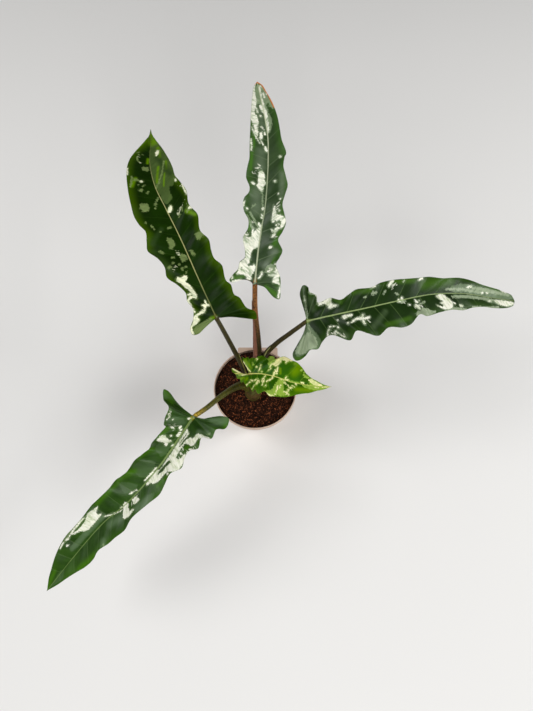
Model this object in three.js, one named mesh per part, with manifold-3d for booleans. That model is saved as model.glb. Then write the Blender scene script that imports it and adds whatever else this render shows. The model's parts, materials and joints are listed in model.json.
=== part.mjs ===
// A potted alocasia with five variegated leaves, in a plastic nursery pot filled with coco soil.
// Millimetres, +Z up. The origin is the middle of the pot's underside, where the pot stands.
// +X is to the right and +Y to the back. The blades reach out on all sides, far past the pot.
import * as THREE from 'three';
import { mergeVertices } from 'three/addons/utils/BufferGeometryUtils.js';
import Module from 'manifold-3d';

const wasm = await Module();
wasm.setup();

// Driving sizes of the pot
const POT_HEIGHT = 95;
const RIM_RADIUS = 60;
const RIM_BAND = 8;
const RIM_LIP = 1.8;
const RIM_LEDGE = 1.6;
const BASE_RADIUS = 43;
const WALL = 1.5;
const FLOOR = 4;
const EDGE = 0.8;
const FOOT_SLOPE = 1;
const RECESS = 2.5;
const CENTRE_DISC = 18;
const FOOT_RING_INNER = 34;
const DRAIN_HOLES = 8;
const DRAIN_RADIUS = 3.5;
const TAB_WIDTH = 59;
const TAB_MIDDLE = 3.3;
const TAB_REACH = 62.3;
const TAB_THICKNESS = 1.6;
const TAB_BELOW_RIM = 0.4;
const TAB_ROOT = 1;
const ROUND_STEPS = 48;

// Radii of the pot's inside at its floor, within its rim and under the ledge, and the ledge's height
const INNER_FLOOR = BASE_RADIUS - WALL - FOOT_SLOPE;
const INNER_LIP = RIM_RADIUS - RIM_LIP;
const INNER_WALL = INNER_LIP - RIM_LEDGE - EDGE;
const LEDGE_HEIGHT = POT_HEIGHT - RIM_BAND;

// Driving sizes of the soil and of the corm that stands in it
const SOIL_TOP = 89;
const SOIL_BUMP = 1.3;
const SOIL_RINGS = [51, 43, 35, 27, 19, 0];
const GAP = 0.3;
const CORM_CENTRE = [-1, -5];
const CORM_RADIUS = 10.6;
const CORM_BURIED = 18;
const CORM_TOP = 111;
const CORM_SIDES = 24;

// Driving sizes of the stalks and blades
const STALK_SIDES = 12;
const STALK_STEP = 9;
const STALK_LEAST = 6;
const BLADE_THICKNESS = 0.8;
const KEEL_DEPTH = [2.6, 0.5];
const VEIN_SWEEP = 0.58;
const WAVE_GAIN = 1.1;
const WAVE_SPAN = 3;
const CURL = 0.003;
const ROWS = [0.12, 0.55, 1];
const SINUS_SPANS = 3;
const SINUS_FADE = 8;
const COLLAR_BACK = 6;
const COLLAR_REACH = 20;
const COLLAR_DROPS = [[0.125, 0.9], [0.5, 0.7], [1, 0.5]];
const COLLAR_RADII = [1, 1, 1, 0.85, 0.35];

// The leaves. A stalk runs from the crown to the blade, and a rib along the middle of the blade to its
// tip, each through points in the part's frame. Each side of a blade is a flat outline in millimetres
// [along the rib, out from it], from the stalk round the lobe to the tip. Roll turns the blade about
// its rib at the base, the middle and the tip, and fold lifts both halves into a shallow V, in degrees.
const LEAVES = {
  back_left: {
    stalk: [[-5, -2, 98], [-11, 7, 126], [-18, 18, 152], [-27, 28, 186], [-35, 34, 226], [-42, 37, 268]],
    stalkRadii: [4.3, 3.3, 2.8, 2.4],
    rib: [
      [-42, 37, 268], [-61, 75, 288], [-82, 120, 302], [-101, 158, 308],
      [-116, 190, 307], [-126, 228, 300], [-130, 268, 289], [-134, 298, 280],
    ],
    roll: [0, 0, 0],
    fold: 12,
    left: [
      [0, 0], [-2, 8], [-5, 18], [-8, 27], [-6, 34], [2, 34], [12, 26], [21, 21], [31, 23], [40, 21],
      [52, 26], [64, 33], [74, 31], [86, 34], [101, 41], [110, 38], [120, 34], [133, 37], [147, 38],
      [162, 35], [178, 32], [196, 30], [214, 28], [231, 23], [246, 14], [260, 5], [275, 2], [290, 0],
    ],
    right: [
      [0, 0], [-3, 12], [-9, 23], [-16, 34], [-20, 43], [-12, 46], [-3, 37], [10, 35], [17, 30],
      [28, 32], [36, 28], [53, 32], [63, 26], [74, 27], [87, 30], [98, 24], [119, 31], [131, 26],
      [152, 32], [166, 30], [178, 27], [196, 27], [212, 25], [228, 21], [244, 16], [260, 9], [276, 4],
      [290, 0],
    ],
  },
  back: {
    stalk: [[-1, -1, 100], [2, 10, 130], [6, 25, 162], [6, 39, 197], [5, 58, 242], [3, 73, 284]],
    stalkRadii: [4.8, 3.8, 3, 2.6],
    rib: [
      [3, 73, 284], [6, 99, 298], [10, 125, 311], [15, 152, 322],
      [18, 193, 332], [18, 234, 337], [13, 271, 338], [5, 320, 334],
    ],
    roll: [0, 0, 0],
    fold: 12,
    left: [
      [0, 0], [4, 8], [3, 16], [-1, 26], [2, 30], [10, 26], [15, 21], [23, 20], [29, 14], [39, 16],
      [50, 20], [60, 15], [69, 16], [78, 23], [88, 26], [96, 25], [101, 20], [108, 20], [121, 25],
      [133, 24], [142, 22], [158, 22], [176, 21], [196, 18], [216, 14], [235, 10], [250, 6], [260, 0],
    ],
    right: [
      [0, 0], [-1, 10], [-7, 17], [-13, 24], [-14, 31], [-3, 31], [11, 29], [24, 23], [33, 26],
      [42, 28], [52, 22], [62, 25], [74, 27], [83, 23], [91, 20], [103, 22], [114, 24], [124, 21],
      [134, 18], [145, 19], [154, 21], [166, 16], [180, 15], [200, 15], [218, 13], [235, 9], [250, 6],
      [260, 0],
    ],
  },
  right: {
    stalk: [[3, -4, 99], [11, 8, 130], [16, 24, 160], [30, 33, 188], [47, 38, 218], [65, 42, 246]],
    stalkRadii: [4.4, 3.4, 2.7, 2.4],
    rib: [
      [65, 42, 246], [95, 45, 257], [133, 51, 264], [172, 60, 265],
      [213, 71, 259], [256, 78, 247], [296, 79, 233], [336, 83, 214],
    ],
    roll: [-12, -12, -6],
    fold: 12,
    left: [
      [0, 0], [0, 11], [-1, 23], [-1, 35], [5, 44], [10, 40], [11, 34], [18, 28], [20, 17], [33, 22],
      [45, 15], [55, 20], [66, 25], [82, 22], [96, 26], [112, 26], [125, 24], [140, 22], [156, 22],
      [171, 18], [184, 19], [197, 20], [211, 18], [225, 14], [245, 13], [264, 12], [279, 8], [286, 0],
    ],
    right: [
      [0, 0], [-6, 14], [-15, 26], [-23, 37], [-20, 46], [-9, 43], [0, 37], [8, 37], [16, 30],
      [28, 25], [46, 34], [55, 26], [67, 31], [79, 36], [90, 30], [107, 33], [119, 31], [128, 23],
      [142, 26], [160, 24], [178, 22], [197, 22], [212, 18], [228, 15], [246, 14], [264, 12], [279, 8],
      [286, 0],
    ],
  },
  front_left: {
    stalk: [[-5, -4, 97], [-17, -4, 118], [-28, -10, 133], [-44, -25, 152], [-60, -45, 168], [-76, -60, 176]],
    stalkRadii: [6, 4.4, 3, 2.7, 2.5],
    rib: [
      [-76, -60, 176], [-91, -87, 183], [-108, -116, 186], [-129, -143, 183],
      [-153, -167, 174], [-183, -189, 160], [-218, -225, 142], [-256, -268, 122],
    ],
    roll: [-10, -10, -6],
    fold: 12,
    left: [
      [0, 0], [-1, 12], [-9, 24], [-15, 36], [-15, 45], [-4, 47], [5, 37], [16, 38], [23, 29],
      [34, 30], [42, 24], [52, 23], [62, 25], [73, 20], [86, 22], [98, 24], [113, 22], [134, 21],
      [150, 26], [168, 26], [182, 25], [197, 22], [212, 23], [227, 21], [242, 16], [257, 11], [273, 6],
      [288, 0],
    ],
    right: [
      [0, 0], [-1, 14], [-5, 29], [-11, 44], [-11, 54], [0, 48], [8, 33], [20, 31], [29, 28], [32, 19],
      [42, 25], [55, 28], [65, 21], [76, 27], [90, 33], [104, 25], [116, 29], [129, 34], [143, 29],
      [160, 27], [175, 28], [189, 23], [206, 24], [223, 27], [240, 23], [257, 16], [273, 9], [288, 0],
    ],
  },
  young: {
    stalk: [[-1, -6, 100], [-3, -4, 124], [-5, -2, 143], [-6, 1, 162]],
    stalkRadii: [4, 3, 2],
    rib: [
      [-6, 1, 162], [10, -1, 168], [29, -6, 171], [48, -13, 171],
      [68, -16, 168], [86, -17, 164], [103, -16, 159],
    ],
    roll: [0, 0, 0],
    fold: 14,
    left: [
      [0, 0], [-5, 9], [-10, 16], [-12, 23], [-5, 21], [0, 22], [8, 21], [15, 24], [21, 22], [27, 26],
      [32, 24], [39, 30], [48, 28], [60, 28], [69, 23], [76, 15], [84, 10], [93, 7], [102, 3], [113, 0],
    ],
    right: [
      [0, 0], [-9, 0], [-19, -5], [-28, -9], [-26, -2], [-15, 8], [-8, 13], [-1, 19], [9, 25],
      [20, 28], [30, 26], [38, 29], [46, 27], [54, 24], [64, 18], [73, 14], [83, 11], [92, 7],
      [102, 4], [113, 0],
    ],
  },
};

// The papery sheath that stands against the left of the back stalk
const SHEATH_SPAN = [0.08, 0.6];
const SHEATH_STANDOFF = 0.5;
const SHEATH_THICKNESS = 0.8;
const SHEATH_FLARE = 5.5;
const SHEATH_CLOSES = 0.6;
const SHEATH_NARROWS = 0.85;
const SHEATH_TURN = [-10, 160];
const SHEATH_STEPS = [12, 8];

// Colours and finishes
const FINISH = {
  pot: { color: 0xe6dccb, roughness: 0.45, metalness: 0 },
  soil: { color: 0x3d2116, roughness: 1, metalness: 0 },
  corm: { color: 0x6d6238, roughness: 0.7, metalness: 0 },
  stalk: { color: 0x6f6334, roughness: 0.55, metalness: 0 },
  blade: { color: 0x2f6a24, roughness: 0.4, metalness: 0 },
  youngBlade: { color: 0x6fae1c, roughness: 0.4, metalness: 0 },
  sheath: { color: 0xb4817a, roughness: 0.8, metalness: 0 },
};

// A closed geometry as a solid for cutting and joining
function solidOf(geometry) {
  const bare = geometry.clone();
  bare.deleteAttribute('normal');
  bare.deleteAttribute('uv');
  const merged = mergeVertices(bare, 1e-4);
  return new wasm.Manifold(new wasm.Mesh({
    numProp: 3,
    vertProperties: merged.attributes.position.array,
    triVerts: new Uint32Array(merged.index.array),
  }));
}

function geometryOf(solid) {
  const mesh = solid.getMesh();
  const geometry = new THREE.BufferGeometry();
  geometry.setAttribute('position', new THREE.BufferAttribute(mesh.vertProperties, 3));
  geometry.setIndex(new THREE.BufferAttribute(mesh.triVerts, 1));
  geometry.computeVertexNormals();
  return geometry;
}

// The largest body of a solid, without the scraps that a cut can leave
function mainBody(solid) {
  const bodies = solid.decompose();
  bodies.sort((a, b) => b.volume() - a.volume());
  return bodies[0];
}

// A profile of [radius, height] pairs turned about the Z axis
function turned(profile, sides = ROUND_STEPS) {
  const points = profile.map(([radius, height]) => new THREE.Vector2(radius, height));
  return new THREE.LatheGeometry(points, sides).rotateX(Math.PI / 2);
}

// An indexed geometry from rows of vertices and lists of triangles
function meshOf(vertices, triangles) {
  const geometry = new THREE.BufferGeometry();
  const flat = vertices.flatMap((v) => [v.x, v.y, v.z]);
  geometry.setAttribute('position', new THREE.Float32BufferAttribute(flat, 3));
  geometry.setIndex(triangles.flat());
  return geometry;
}

function curveThrough(points) {
  const vectors = points.map((p) => (p.isVector3 ? p : new THREE.Vector3(...p)));
  return new THREE.CatmullRomCurve3(vectors, false, 'catmullrom', 0.5);
}

// A value that runs through the given ones as t goes from 0 to 1
function along(values, t) {
  const place = THREE.MathUtils.clamp(t, 0, 1) * (values.length - 1);
  const index = Math.min(Math.floor(place), values.length - 2);
  return THREE.MathUtils.lerp(values[index], values[index + 1], place - index);
}

// A round bar along a stretch of a curve, with its radius given along it
function bar(curve, from, to, radii, extra = 0) {
  const steps = Math.max(STALK_LEAST, Math.round((to - from) * curve.getLength() / STALK_STEP));
  const stretch = new THREE.CatmullRomCurve3(
    Array.from({ length: steps + 1 }, (_, i) => curve.getPointAt(from + (to - from) * i / steps)),
  );
  const { normals, binormals } = stretch.computeFrenetFrames(steps, false);
  const vertices = [];
  const triangles = [];
  for (let i = 0; i <= steps; i += 1) {
    const centre = stretch.getPointAt(i / steps);
    const radius = along(radii, i / steps) + extra;
    for (let k = 0; k < STALK_SIDES; k += 1) {
      const angle = (2 * Math.PI * k) / STALK_SIDES;
      vertices.push(centre.clone()
        .addScaledVector(normals[i], radius * Math.cos(angle))
        .addScaledVector(binormals[i], radius * Math.sin(angle)));
    }
  }
  const ring = (i, k) => i * STALK_SIDES + (k % STALK_SIDES);
  const startCap = vertices.push(stretch.getPointAt(0)) - 1;
  const endCap = vertices.push(stretch.getPointAt(1)) - 1;
  for (let k = 0; k < STALK_SIDES; k += 1) {
    for (let i = 0; i < steps; i += 1) {
      triangles.push([ring(i, k), ring(i, k + 1), ring(i + 1, k + 1)]);
      triangles.push([ring(i, k), ring(i + 1, k + 1), ring(i + 1, k)]);
    }
    triangles.push([startCap, ring(0, k + 1), ring(0, k)]);
    triangles.push([endCap, ring(steps, k), ring(steps, k + 1)]);
  }
  return meshOf(vertices, triangles);
}

// The pot: base, wall, rim band, label tab and drainage holes
function makePot() {
  const profile = [
    [0, 0], [CENTRE_DISC - FOOT_SLOPE, 0], [CENTRE_DISC, RECESS], [FOOT_RING_INNER, RECESS],
    [FOOT_RING_INNER + FOOT_SLOPE, 0], [BASE_RADIUS - EDGE, 0], [BASE_RADIUS, EDGE],
    [INNER_WALL + WALL, LEDGE_HEIGHT], [RIM_RADIUS - EDGE, LEDGE_HEIGHT],
    [RIM_RADIUS, LEDGE_HEIGHT + EDGE], [RIM_RADIUS, POT_HEIGHT - EDGE],
    [RIM_RADIUS - EDGE, POT_HEIGHT], [INNER_LIP, POT_HEIGHT], [INNER_LIP, LEDGE_HEIGHT + EDGE],
    [INNER_WALL, LEDGE_HEIGHT - EDGE], [INNER_FLOOR + FOOT_SLOPE, FLOOR + 2 * EDGE],
    [INNER_FLOOR - FOOT_SLOPE, FLOOR], [0, FLOOR],
  ];
  let pot = solidOf(turned(profile)).add(solidOf(makeTab()));
  for (let i = 0; i < DRAIN_HOLES; i += 1) {
    const angle = (2 * Math.PI * (i + 0.5)) / DRAIN_HOLES;
    const reach = (CENTRE_DISC + FOOT_RING_INNER) / 2;
    const drill = new THREE.CylinderGeometry(DRAIN_RADIUS, DRAIN_RADIUS, 4 * FLOOR, 16)
      .rotateX(Math.PI / 2)
      .translate(reach * Math.cos(angle), reach * Math.sin(angle), 0);
    pot = pot.subtract(solidOf(drill));
  }
  return geometryOf(pot);
}

// The flat tab behind the rim: straight outside, and round inside where it meets the rim
function makeTab() {
  const meets = RIM_RADIUS - TAB_ROOT;
  const [low, high] = [TAB_MIDDLE - TAB_WIDTH / 2, TAB_MIDDLE + TAB_WIDTH / 2];
  const [from, to] = [Math.acos(low / meets), Math.acos(high / meets)];
  const shape = new THREE.Shape();
  shape.moveTo(high, meets * Math.sin(to));
  shape.lineTo(high, TAB_REACH);
  shape.lineTo(low, TAB_REACH);
  shape.lineTo(low, meets * Math.sin(from));
  shape.absarc(0, 0, meets, from, to, true);
  const options = { depth: TAB_THICKNESS, bevelEnabled: false, curveSegments: 8 };
  const under = POT_HEIGHT - TAB_BELOW_RIM - TAB_THICKNESS;
  return new THREE.ExtrudeGeometry(shape, options).translate(0, 0, under);
}

// The soil: it fills the pot to just under the rim, bumpy on top, with a plain hole for the corm
function makeSoil() {
  const bottom = FLOOR + GAP;
  const shoulder = LEDGE_HEIGHT + EDGE + 2 * GAP;
  const reach = INNER_LIP - 2 * GAP;
  const profile = [
    [0, bottom], [INNER_FLOOR - FOOT_SLOPE - 2 * GAP, bottom],
    [INNER_FLOOR + FOOT_SLOPE - 2 * GAP, bottom + 2 * EDGE], [INNER_WALL - 2 * GAP, LEDGE_HEIGHT - EDGE],
    [reach, shoulder], [reach, shoulder + GAP], ...SOIL_RINGS.map((radius) => [radius, SOIL_TOP]),
  ];
  const soil = turned(profile);
  const place = soil.attributes.position;
  for (let i = 0; i < place.count; i += 1) {
    if (place.getZ(i) > SOIL_TOP - GAP) {
      place.setZ(i, SOIL_TOP + soilBump(place.getX(i), place.getY(i)));
    }
  }
  const depth = 2 * CORM_BURIED;
  const holeRadius = CORM_RADIUS + GAP;
  const hole = new THREE.CylinderGeometry(holeRadius, holeRadius, depth, CORM_SIDES)
    .rotateX(Math.PI / 2)
    .translate(CORM_CENTRE[0], CORM_CENTRE[1], SOIL_TOP - CORM_BURIED - GAP + depth / 2);
  return geometryOf(solidOf(soil).subtract(solidOf(hole)));
}

// The height of the soil's bumps over its level
function soilBump(x, y) {
  const coarse = Math.sin(x * 0.21 + 1.1) * Math.cos(y * 0.19 - 0.4);
  const fine = Math.sin(x * 0.47 - y * 0.31 + 2.0);
  return SOIL_BUMP * (0.65 * coarse + 0.35 * fine);
}

// The corm: an upright stem with the ringed scars of old leaves, domed on top. Extra makes it larger
// all round, for cutting what stands clear of it.
function makeCorm(extra) {
  const foot = SOIL_TOP - CORM_BURIED;
  const shape = [
    [0, foot - extra], [0.55, foot + 1 - extra], [0.9, foot + 5], [1, foot + 12], [1, SOIL_TOP + 2],
    [0.94, SOIL_TOP + 4.5], [0.97, SOIL_TOP + 7], [0.88, SOIL_TOP + 10], [0.9, SOIL_TOP + 13],
    [0.76, CORM_TOP - 6 + extra], [0.66, CORM_TOP - 3 + extra], [0.38, CORM_TOP - 0.6 + extra],
    [0, CORM_TOP + extra],
  ];
  const profile = shape.map(([share, height]) => [share * (CORM_RADIUS + extra), height]);
  return turned(profile, CORM_SIDES).translate(CORM_CENTRE[0], CORM_CENTRE[1], 0);
}

// Where along a stalk its bar ends, so that the blade's collar follows it
function stalkEnd(curve) {
  return 1 - COLLAR_BACK / curve.getLength();
}

function stalkBar(leaf, extra = 0) {
  const curve = curveThrough(leaf.stalk);
  const end = stalkEnd(curve) - (GAP - extra) / curve.getLength();
  return bar(curve, 0, end, leaf.stalkRadii, extra);
}

// The frame of a blade at a distance along its rib: the point, and the ways up and to the left
function bladeFrame(rib, roll, distance) {
  const length = rib.getLength();
  const t = THREE.MathUtils.clamp(distance / length, 0, 1);
  const forward = rib.getTangentAt(t);
  const level = new THREE.Vector3(0, 0, 1).cross(forward).normalize();
  const upright = forward.clone().cross(level);
  const turn = THREE.MathUtils.degToRad(along(roll, t));
  const up = upright.multiplyScalar(Math.cos(turn)).addScaledVector(level, Math.sin(turn));
  const left = up.clone().cross(forward);
  const point = rib.getPointAt(t).addScaledVector(forward, distance - t * length);
  return { point, up, left };
}

// One side of a blade from its outline: the edge beside the stalk, out to the lobe, and samples of
// the margin from the lobe to the tip, each with how far it stands outside the line without waves
function sampleSide(outline) {
  const spline = new THREE.SplineCurve(outline.map(([s, w]) => new THREE.Vector2(s, w)));
  const spans = outline.length - 1;
  const sinus = ROWS.map((t) => spline.getPoint((t * SINUS_SPANS) / spans));
  const count = 2 * (spans - SINUS_SPANS);
  const margin = [];
  for (let i = 0; i <= count; i += 1) {
    margin.push(spline.getPoint((SINUS_SPANS + i / 2) / spans));
  }
  const waves = margin.map((p, i) => {
    const near = margin.slice(Math.max(0, i - WAVE_SPAN), i + WAVE_SPAN + 1);
    const mean = near.reduce((sum, q) => sum + q.y, 0) / near.length;
    return i < WAVE_SPAN || i > count - WAVE_SPAN ? 0 : p.y - mean;
  });
  return { sinus, margin, waves };
}

// Where on the rib each pair of margin samples starts: the veins sweep forward to the edge
function veinFeet(left, right, length) {
  const feet = [];
  left.forEach((a, i) => {
    const b = right[i];
    const sweep = VEIN_SWEEP * (Math.max(a.y, 0) + Math.max(b.y, 0)) / 2;
    const last = i === 0 ? 0 : feet[i - 1];
    feet.push(THREE.MathUtils.clamp((a.x + b.x) / 2 - sweep, last, length));
  });
  feet[feet.length - 1] = length;
  return feet;
}

// A place on the flat blade, as along and out, for one row of one column
function flatPlace(side, foot, column, row) {
  const t = ROWS[row];
  const end = side.margin[column];
  const x = THREE.MathUtils.lerp(foot, end.x, t);
  const y = end.y * t;
  const fade = Math.max(0, 1 - column / SINUS_FADE);
  const chordX = side.margin[0].x * t;
  const chordY = side.margin[0].y * t;
  return [x + fade * (side.sinus[row].x - chordX), y + fade * (side.sinus[row].y - chordY)];
}

// The blade's middle surface: its vertices, its triangles facing up, and how far each vertex is
// from the tip where it lies on the rib
function bladeSurface(leaf, rib) {
  const length = rib.getLength();
  const leftSide = sampleSide(leaf.left);
  const rightSide = sampleSide(leaf.right);
  const feet = veinFeet(leftSide.margin, rightSide.margin, length);
  const fold = THREE.MathUtils.degToRad(leaf.fold);
  const vertices = [];
  const onRib = new Map();
  const ribIds = [];
  feet.forEach((foot, i) => {
    if (i > 0 && foot === feet[i - 1]) {
      ribIds.push(ribIds[i - 1]);
      return;
    }
    ribIds.push(vertices.push(bladeFrame(rib, leaf.roll, foot).point) - 1);
    onRib.set(ribIds[i], foot / length);
  });
  const triangles = [];
  for (const [side, sign] of [[leftSide, 1], [rightSide, -1]]) {
    const columns = feet.map((foot, i) => {
      const isTip = i === feet.length - 1;
      const outer = ROWS.map((t, row) => {
        if (isTip) {
          return ribIds[i];
        }
        const [s, w] = flatPlace(side, foot, i, row);
        const { point, up, left } = bladeFrame(rib, leaf.roll, s);
        const rise = w * Math.sin(fold) - CURL * w * w / 2 - WAVE_GAIN * side.waves[i] * t * t;
        point.addScaledVector(left, sign * w * Math.cos(fold)).addScaledVector(up, rise);
        return vertices.push(point) - 1;
      });
      return [ribIds[i], ...outer];
    });
    triangles.push(...stripTriangles(columns, sign > 0));
  }
  return { vertices, triangles, onRib };
}

// Two triangles for each cell between neighbouring columns, leaving out those that collapse
function stripTriangles(columns, flipped) {
  const triangles = [];
  for (let i = 0; i + 1 < columns.length; i += 1) {
    for (let k = 0; k + 1 < columns[i].length; k += 1) {
      const a = columns[i][k];
      const b = columns[i + 1][k];
      const c = columns[i + 1][k + 1];
      const d = columns[i][k + 1];
      triangles.push(flipped ? [a, b, c] : [a, c, b]);
      triangles.push(flipped ? [a, c, d] : [a, d, c]);
    }
  }
  return triangles.filter(([a, b, c]) => a !== b && b !== c && c !== a);
}

// A closed solid from a surface: both faces have the same triangles, and the lower one is let down
// further where depth says so
function thicken(vertices, triangles, thickness, depth = () => 0) {
  const normals = vertices.map(() => new THREE.Vector3());
  const edges = new Map();
  for (const [a, b, c] of triangles) {
    const ab = vertices[b].clone().sub(vertices[a]);
    const ac = vertices[c].clone().sub(vertices[a]);
    const face = ab.cross(ac);
    [a, b, c].forEach((id) => normals[id].add(face));
    [[a, b], [b, c], [c, a]].forEach(([from, to]) => edges.set(`${from} ${to}`, [from, to]));
  }
  normals.forEach((n) => n.normalize());
  const top = vertices.map((v, i) => v.clone().addScaledVector(normals[i], thickness / 2));
  const under = vertices.map((v, i) => v.clone().addScaledVector(normals[i], -thickness / 2 - depth(i)));
  const count = vertices.length;
  const faces = [...triangles];
  triangles.forEach(([a, b, c]) => faces.push([a + count, c + count, b + count]));
  for (const [a, b] of edges.values()) {
    if (!edges.has(`${b} ${a}`)) {
      faces.push([a, a + count, b + count], [a, b + count, b]);
    }
  }
  return meshOf([...top, ...under], faces);
}

// A blade with its keel, and the collar that carries it on its stalk
function makeBlade(leaf) {
  const rib = curveThrough(leaf.rib);
  const { vertices, triangles, onRib } = bladeSurface(leaf, rib);
  const keel = (id) => (onRib.has(id) ? along(KEEL_DEPTH, onRib.get(id)) : 0);
  const shell = thicken(vertices, triangles, BLADE_THICKNESS, keel);
  const blade = solidOf(shell).add(solidOf(makeCollar(leaf, rib)));
  return geometryOf(mainBody(blade.subtract(solidOf(stalkBar(leaf, GAP)))));
}

// The collar: it goes on from the end of the stalk, turns, and dies away under the rib. Its shares of
// the reach, the drops under the rib and the radii are in parts of the stalk's radius at its end.
function makeCollar(leaf, rib) {
  const stalk = curveThrough(leaf.stalk);
  const top = leaf.stalkRadii[leaf.stalkRadii.length - 1];
  const under = (distance, drop) => {
    const { point, up } = bladeFrame(rib, leaf.roll, distance);
    return point.addScaledVector(up, -drop);
  };
  const path = curveThrough([
    stalk.getPointAt(stalkEnd(stalk)),
    stalk.getPointAt(1 - COLLAR_BACK / 2 / stalk.getLength()),
    ...COLLAR_DROPS.map(([share, drop]) => under(share * COLLAR_REACH, drop * top)),
  ]);
  return bar(path, 0, 1, COLLAR_RADII.map((share) => share * top));
}

// The sheath: a thin curved flap round the left of the back stalk, which narrows to a point
function makeSheath(leaf) {
  const stalk = curveThrough(leaf.stalk);
  const vertices = [];
  const columns = [];
  const [steps, across] = SHEATH_STEPS;
  for (let i = 0; i <= steps; i += 1) {
    const t = i / steps;
    const u = along(SHEATH_SPAN, t);
    const { point, up, left } = bladeFrame(stalk, [0, 0], u * stalk.getLength());
    const radius = along(leaf.stalkRadii, u) + SHEATH_STANDOFF;
    const narrow = 1 - SHEATH_NARROWS * t * t;
    const flare = SHEATH_FLARE * (1 - SHEATH_CLOSES * t);
    const column = [];
    for (let k = 0; k <= across; k += 1) {
      const turn = along(SHEATH_TURN, 0.5 + (k / across - 0.5) * narrow);
      const angle = THREE.MathUtils.degToRad(turn);
      const reach = radius + flare * Math.max(0, Math.sin(angle));
      vertices.push(point.clone()
        .addScaledVector(up, reach * Math.cos(angle))
        .addScaledVector(left, reach * Math.sin(angle)));
      column.push(vertices.length - 1);
    }
    columns.push(column);
  }
  return thicken(vertices, stripTriangles(columns, false), SHEATH_THICKNESS);
}

function named(name, geometry, finish) {
  const mesh = new THREE.Mesh(geometry, new THREE.MeshStandardMaterial(FINISH[finish]));
  mesh.name = name;
  return mesh;
}

// The stalks, youngest first: each is cut clear of the corm and of the stalks that it wraps
function makeStalks(cormClearance) {
  let taken = cormClearance;
  const stalks = new Map();
  for (const name of ['young', 'back', 'right', 'back_left', 'front_left']) {
    const leaf = LEAVES[name];
    stalks.set(name, geometryOf(mainBody(solidOf(stalkBar(leaf)).subtract(taken))));
    taken = taken.add(solidOf(stalkBar(leaf, GAP)));
  }
  const sheath = mainBody(solidOf(makeSheath(LEAVES.back)).subtract(taken));
  return { stalks, sheath: geometryOf(sheath) };
}

const plant = new THREE.Group();
plant.add(named('pot', makePot(), 'pot'));
plant.add(named('soil', makeSoil(), 'soil'));
plant.add(named('corm', makeCorm(0), 'corm'));
const { stalks, sheath } = makeStalks(solidOf(makeCorm(GAP)));
plant.add(named('sheath_back', sheath, 'sheath'));
for (const [name, leaf] of Object.entries(LEAVES)) {
  plant.add(named(`stalk_${name}`, stalks.get(name), 'stalk'));
  plant.add(named(`blade_${name}`, makeBlade(leaf), name === 'young' ? 'youngBlade' : 'blade'));
}

export default plant;
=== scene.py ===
"""Looks of a potted alocasia: five variegated leaves on stalks over a nursery pot of coco soil.

Lengths are millimetres in the plant's own frame, +Z up, with the origin under the middle of the
pot, unless a comment says otherwise. Meshes are made in metres.
"""

import json
import logging
import math
from dataclasses import dataclass, field
from enum import Enum
from typing import Sequence

import bpy
import numpy as np
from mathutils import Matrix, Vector

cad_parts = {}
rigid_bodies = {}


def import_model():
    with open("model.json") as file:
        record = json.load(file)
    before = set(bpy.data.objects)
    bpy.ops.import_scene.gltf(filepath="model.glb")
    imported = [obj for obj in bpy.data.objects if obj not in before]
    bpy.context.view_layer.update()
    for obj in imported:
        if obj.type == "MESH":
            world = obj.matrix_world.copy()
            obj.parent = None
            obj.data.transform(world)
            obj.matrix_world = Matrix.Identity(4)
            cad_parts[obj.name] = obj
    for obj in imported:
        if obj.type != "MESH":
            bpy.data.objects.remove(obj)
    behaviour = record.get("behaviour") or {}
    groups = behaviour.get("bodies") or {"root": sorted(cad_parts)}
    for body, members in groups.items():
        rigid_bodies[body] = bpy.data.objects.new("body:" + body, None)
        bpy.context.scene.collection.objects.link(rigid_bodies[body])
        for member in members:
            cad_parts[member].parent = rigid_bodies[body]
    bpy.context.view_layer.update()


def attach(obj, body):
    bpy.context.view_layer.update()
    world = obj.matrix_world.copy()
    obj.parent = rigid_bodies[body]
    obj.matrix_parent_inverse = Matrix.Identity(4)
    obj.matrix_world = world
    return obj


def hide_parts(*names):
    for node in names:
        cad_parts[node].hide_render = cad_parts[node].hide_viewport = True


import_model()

log = logging.getLogger("alocasia")

MM = 0.001
BODY = "root"
SHARP_ANGLE = math.radians(34)

Colour = tuple[float, float, float]
Mark = tuple[float | tuple[float, float], ...]
Outline = tuple[tuple[float, float], ...]
Points = tuple[tuple[float, float, float], ...]
Tree = bpy.types.NodeTree
Node = bpy.types.Node
Socket = bpy.types.NodeSocket
Material = bpy.types.Material
Piece = bpy.types.Object


def shade(red: int, green: int, blue: int) -> Colour:
    """Linear colour from a colour written in 0 to 255.

    Args:
        red: red part.
        green: green part.
        blue: blue part.

    Returns:
        The colour as Blender's shaders take it.
    """
    def linear(value: int) -> float:
        """One part, made linear."""
        part = value / 255
        return part / 12.92 if part <= 0.04045 else ((part + 0.055) / 1.055) ** 2.4
    return linear(red), linear(green), linear(blue)


class Tone(Enum):
    """The kinds of marking on a blade."""

    CREAM = "cream"
    PALE = "pale"
    # Paler sectors: real variegation on the back left blade, painted sheen on the right and front left
    # blades
    SECTOR = "sector"
    GREEN = "green"
    LIME = "lime"
    SPRAY = "spray"
    # Painted sheen: a soft pale haze laid on as colour where light would be reflected off the blade
    BLOOM = "bloom"
    DRY = "dry"


SOFT_TONES = (Tone.LIME, Tone.SPRAY, Tone.BLOOM, Tone.DRY)


class Value:
    """What a node's output gives. Sums, differences and products of values make Math nodes."""

    def __init__(self, wiring: "Wiring", socket: Socket) -> None:
        """Keeps the output and the wiring that it is in."""
        self.wiring = wiring
        self.socket = socket

    def __add__(self, other: object) -> "Value":
        """The sum of two values."""
        return self.wiring.math("ADD", self, other)

    def __sub__(self, other: object) -> "Value":
        """The difference of two values."""
        return self.wiring.math("SUBTRACT", self, other)

    def __rsub__(self, other: float) -> "Value":
        """A number less a value."""
        return self.wiring.math("SUBTRACT", other, self)

    def __mul__(self, other: object) -> "Value":
        """The product of two values."""
        return self.wiring.math("MULTIPLY", self, other)


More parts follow.
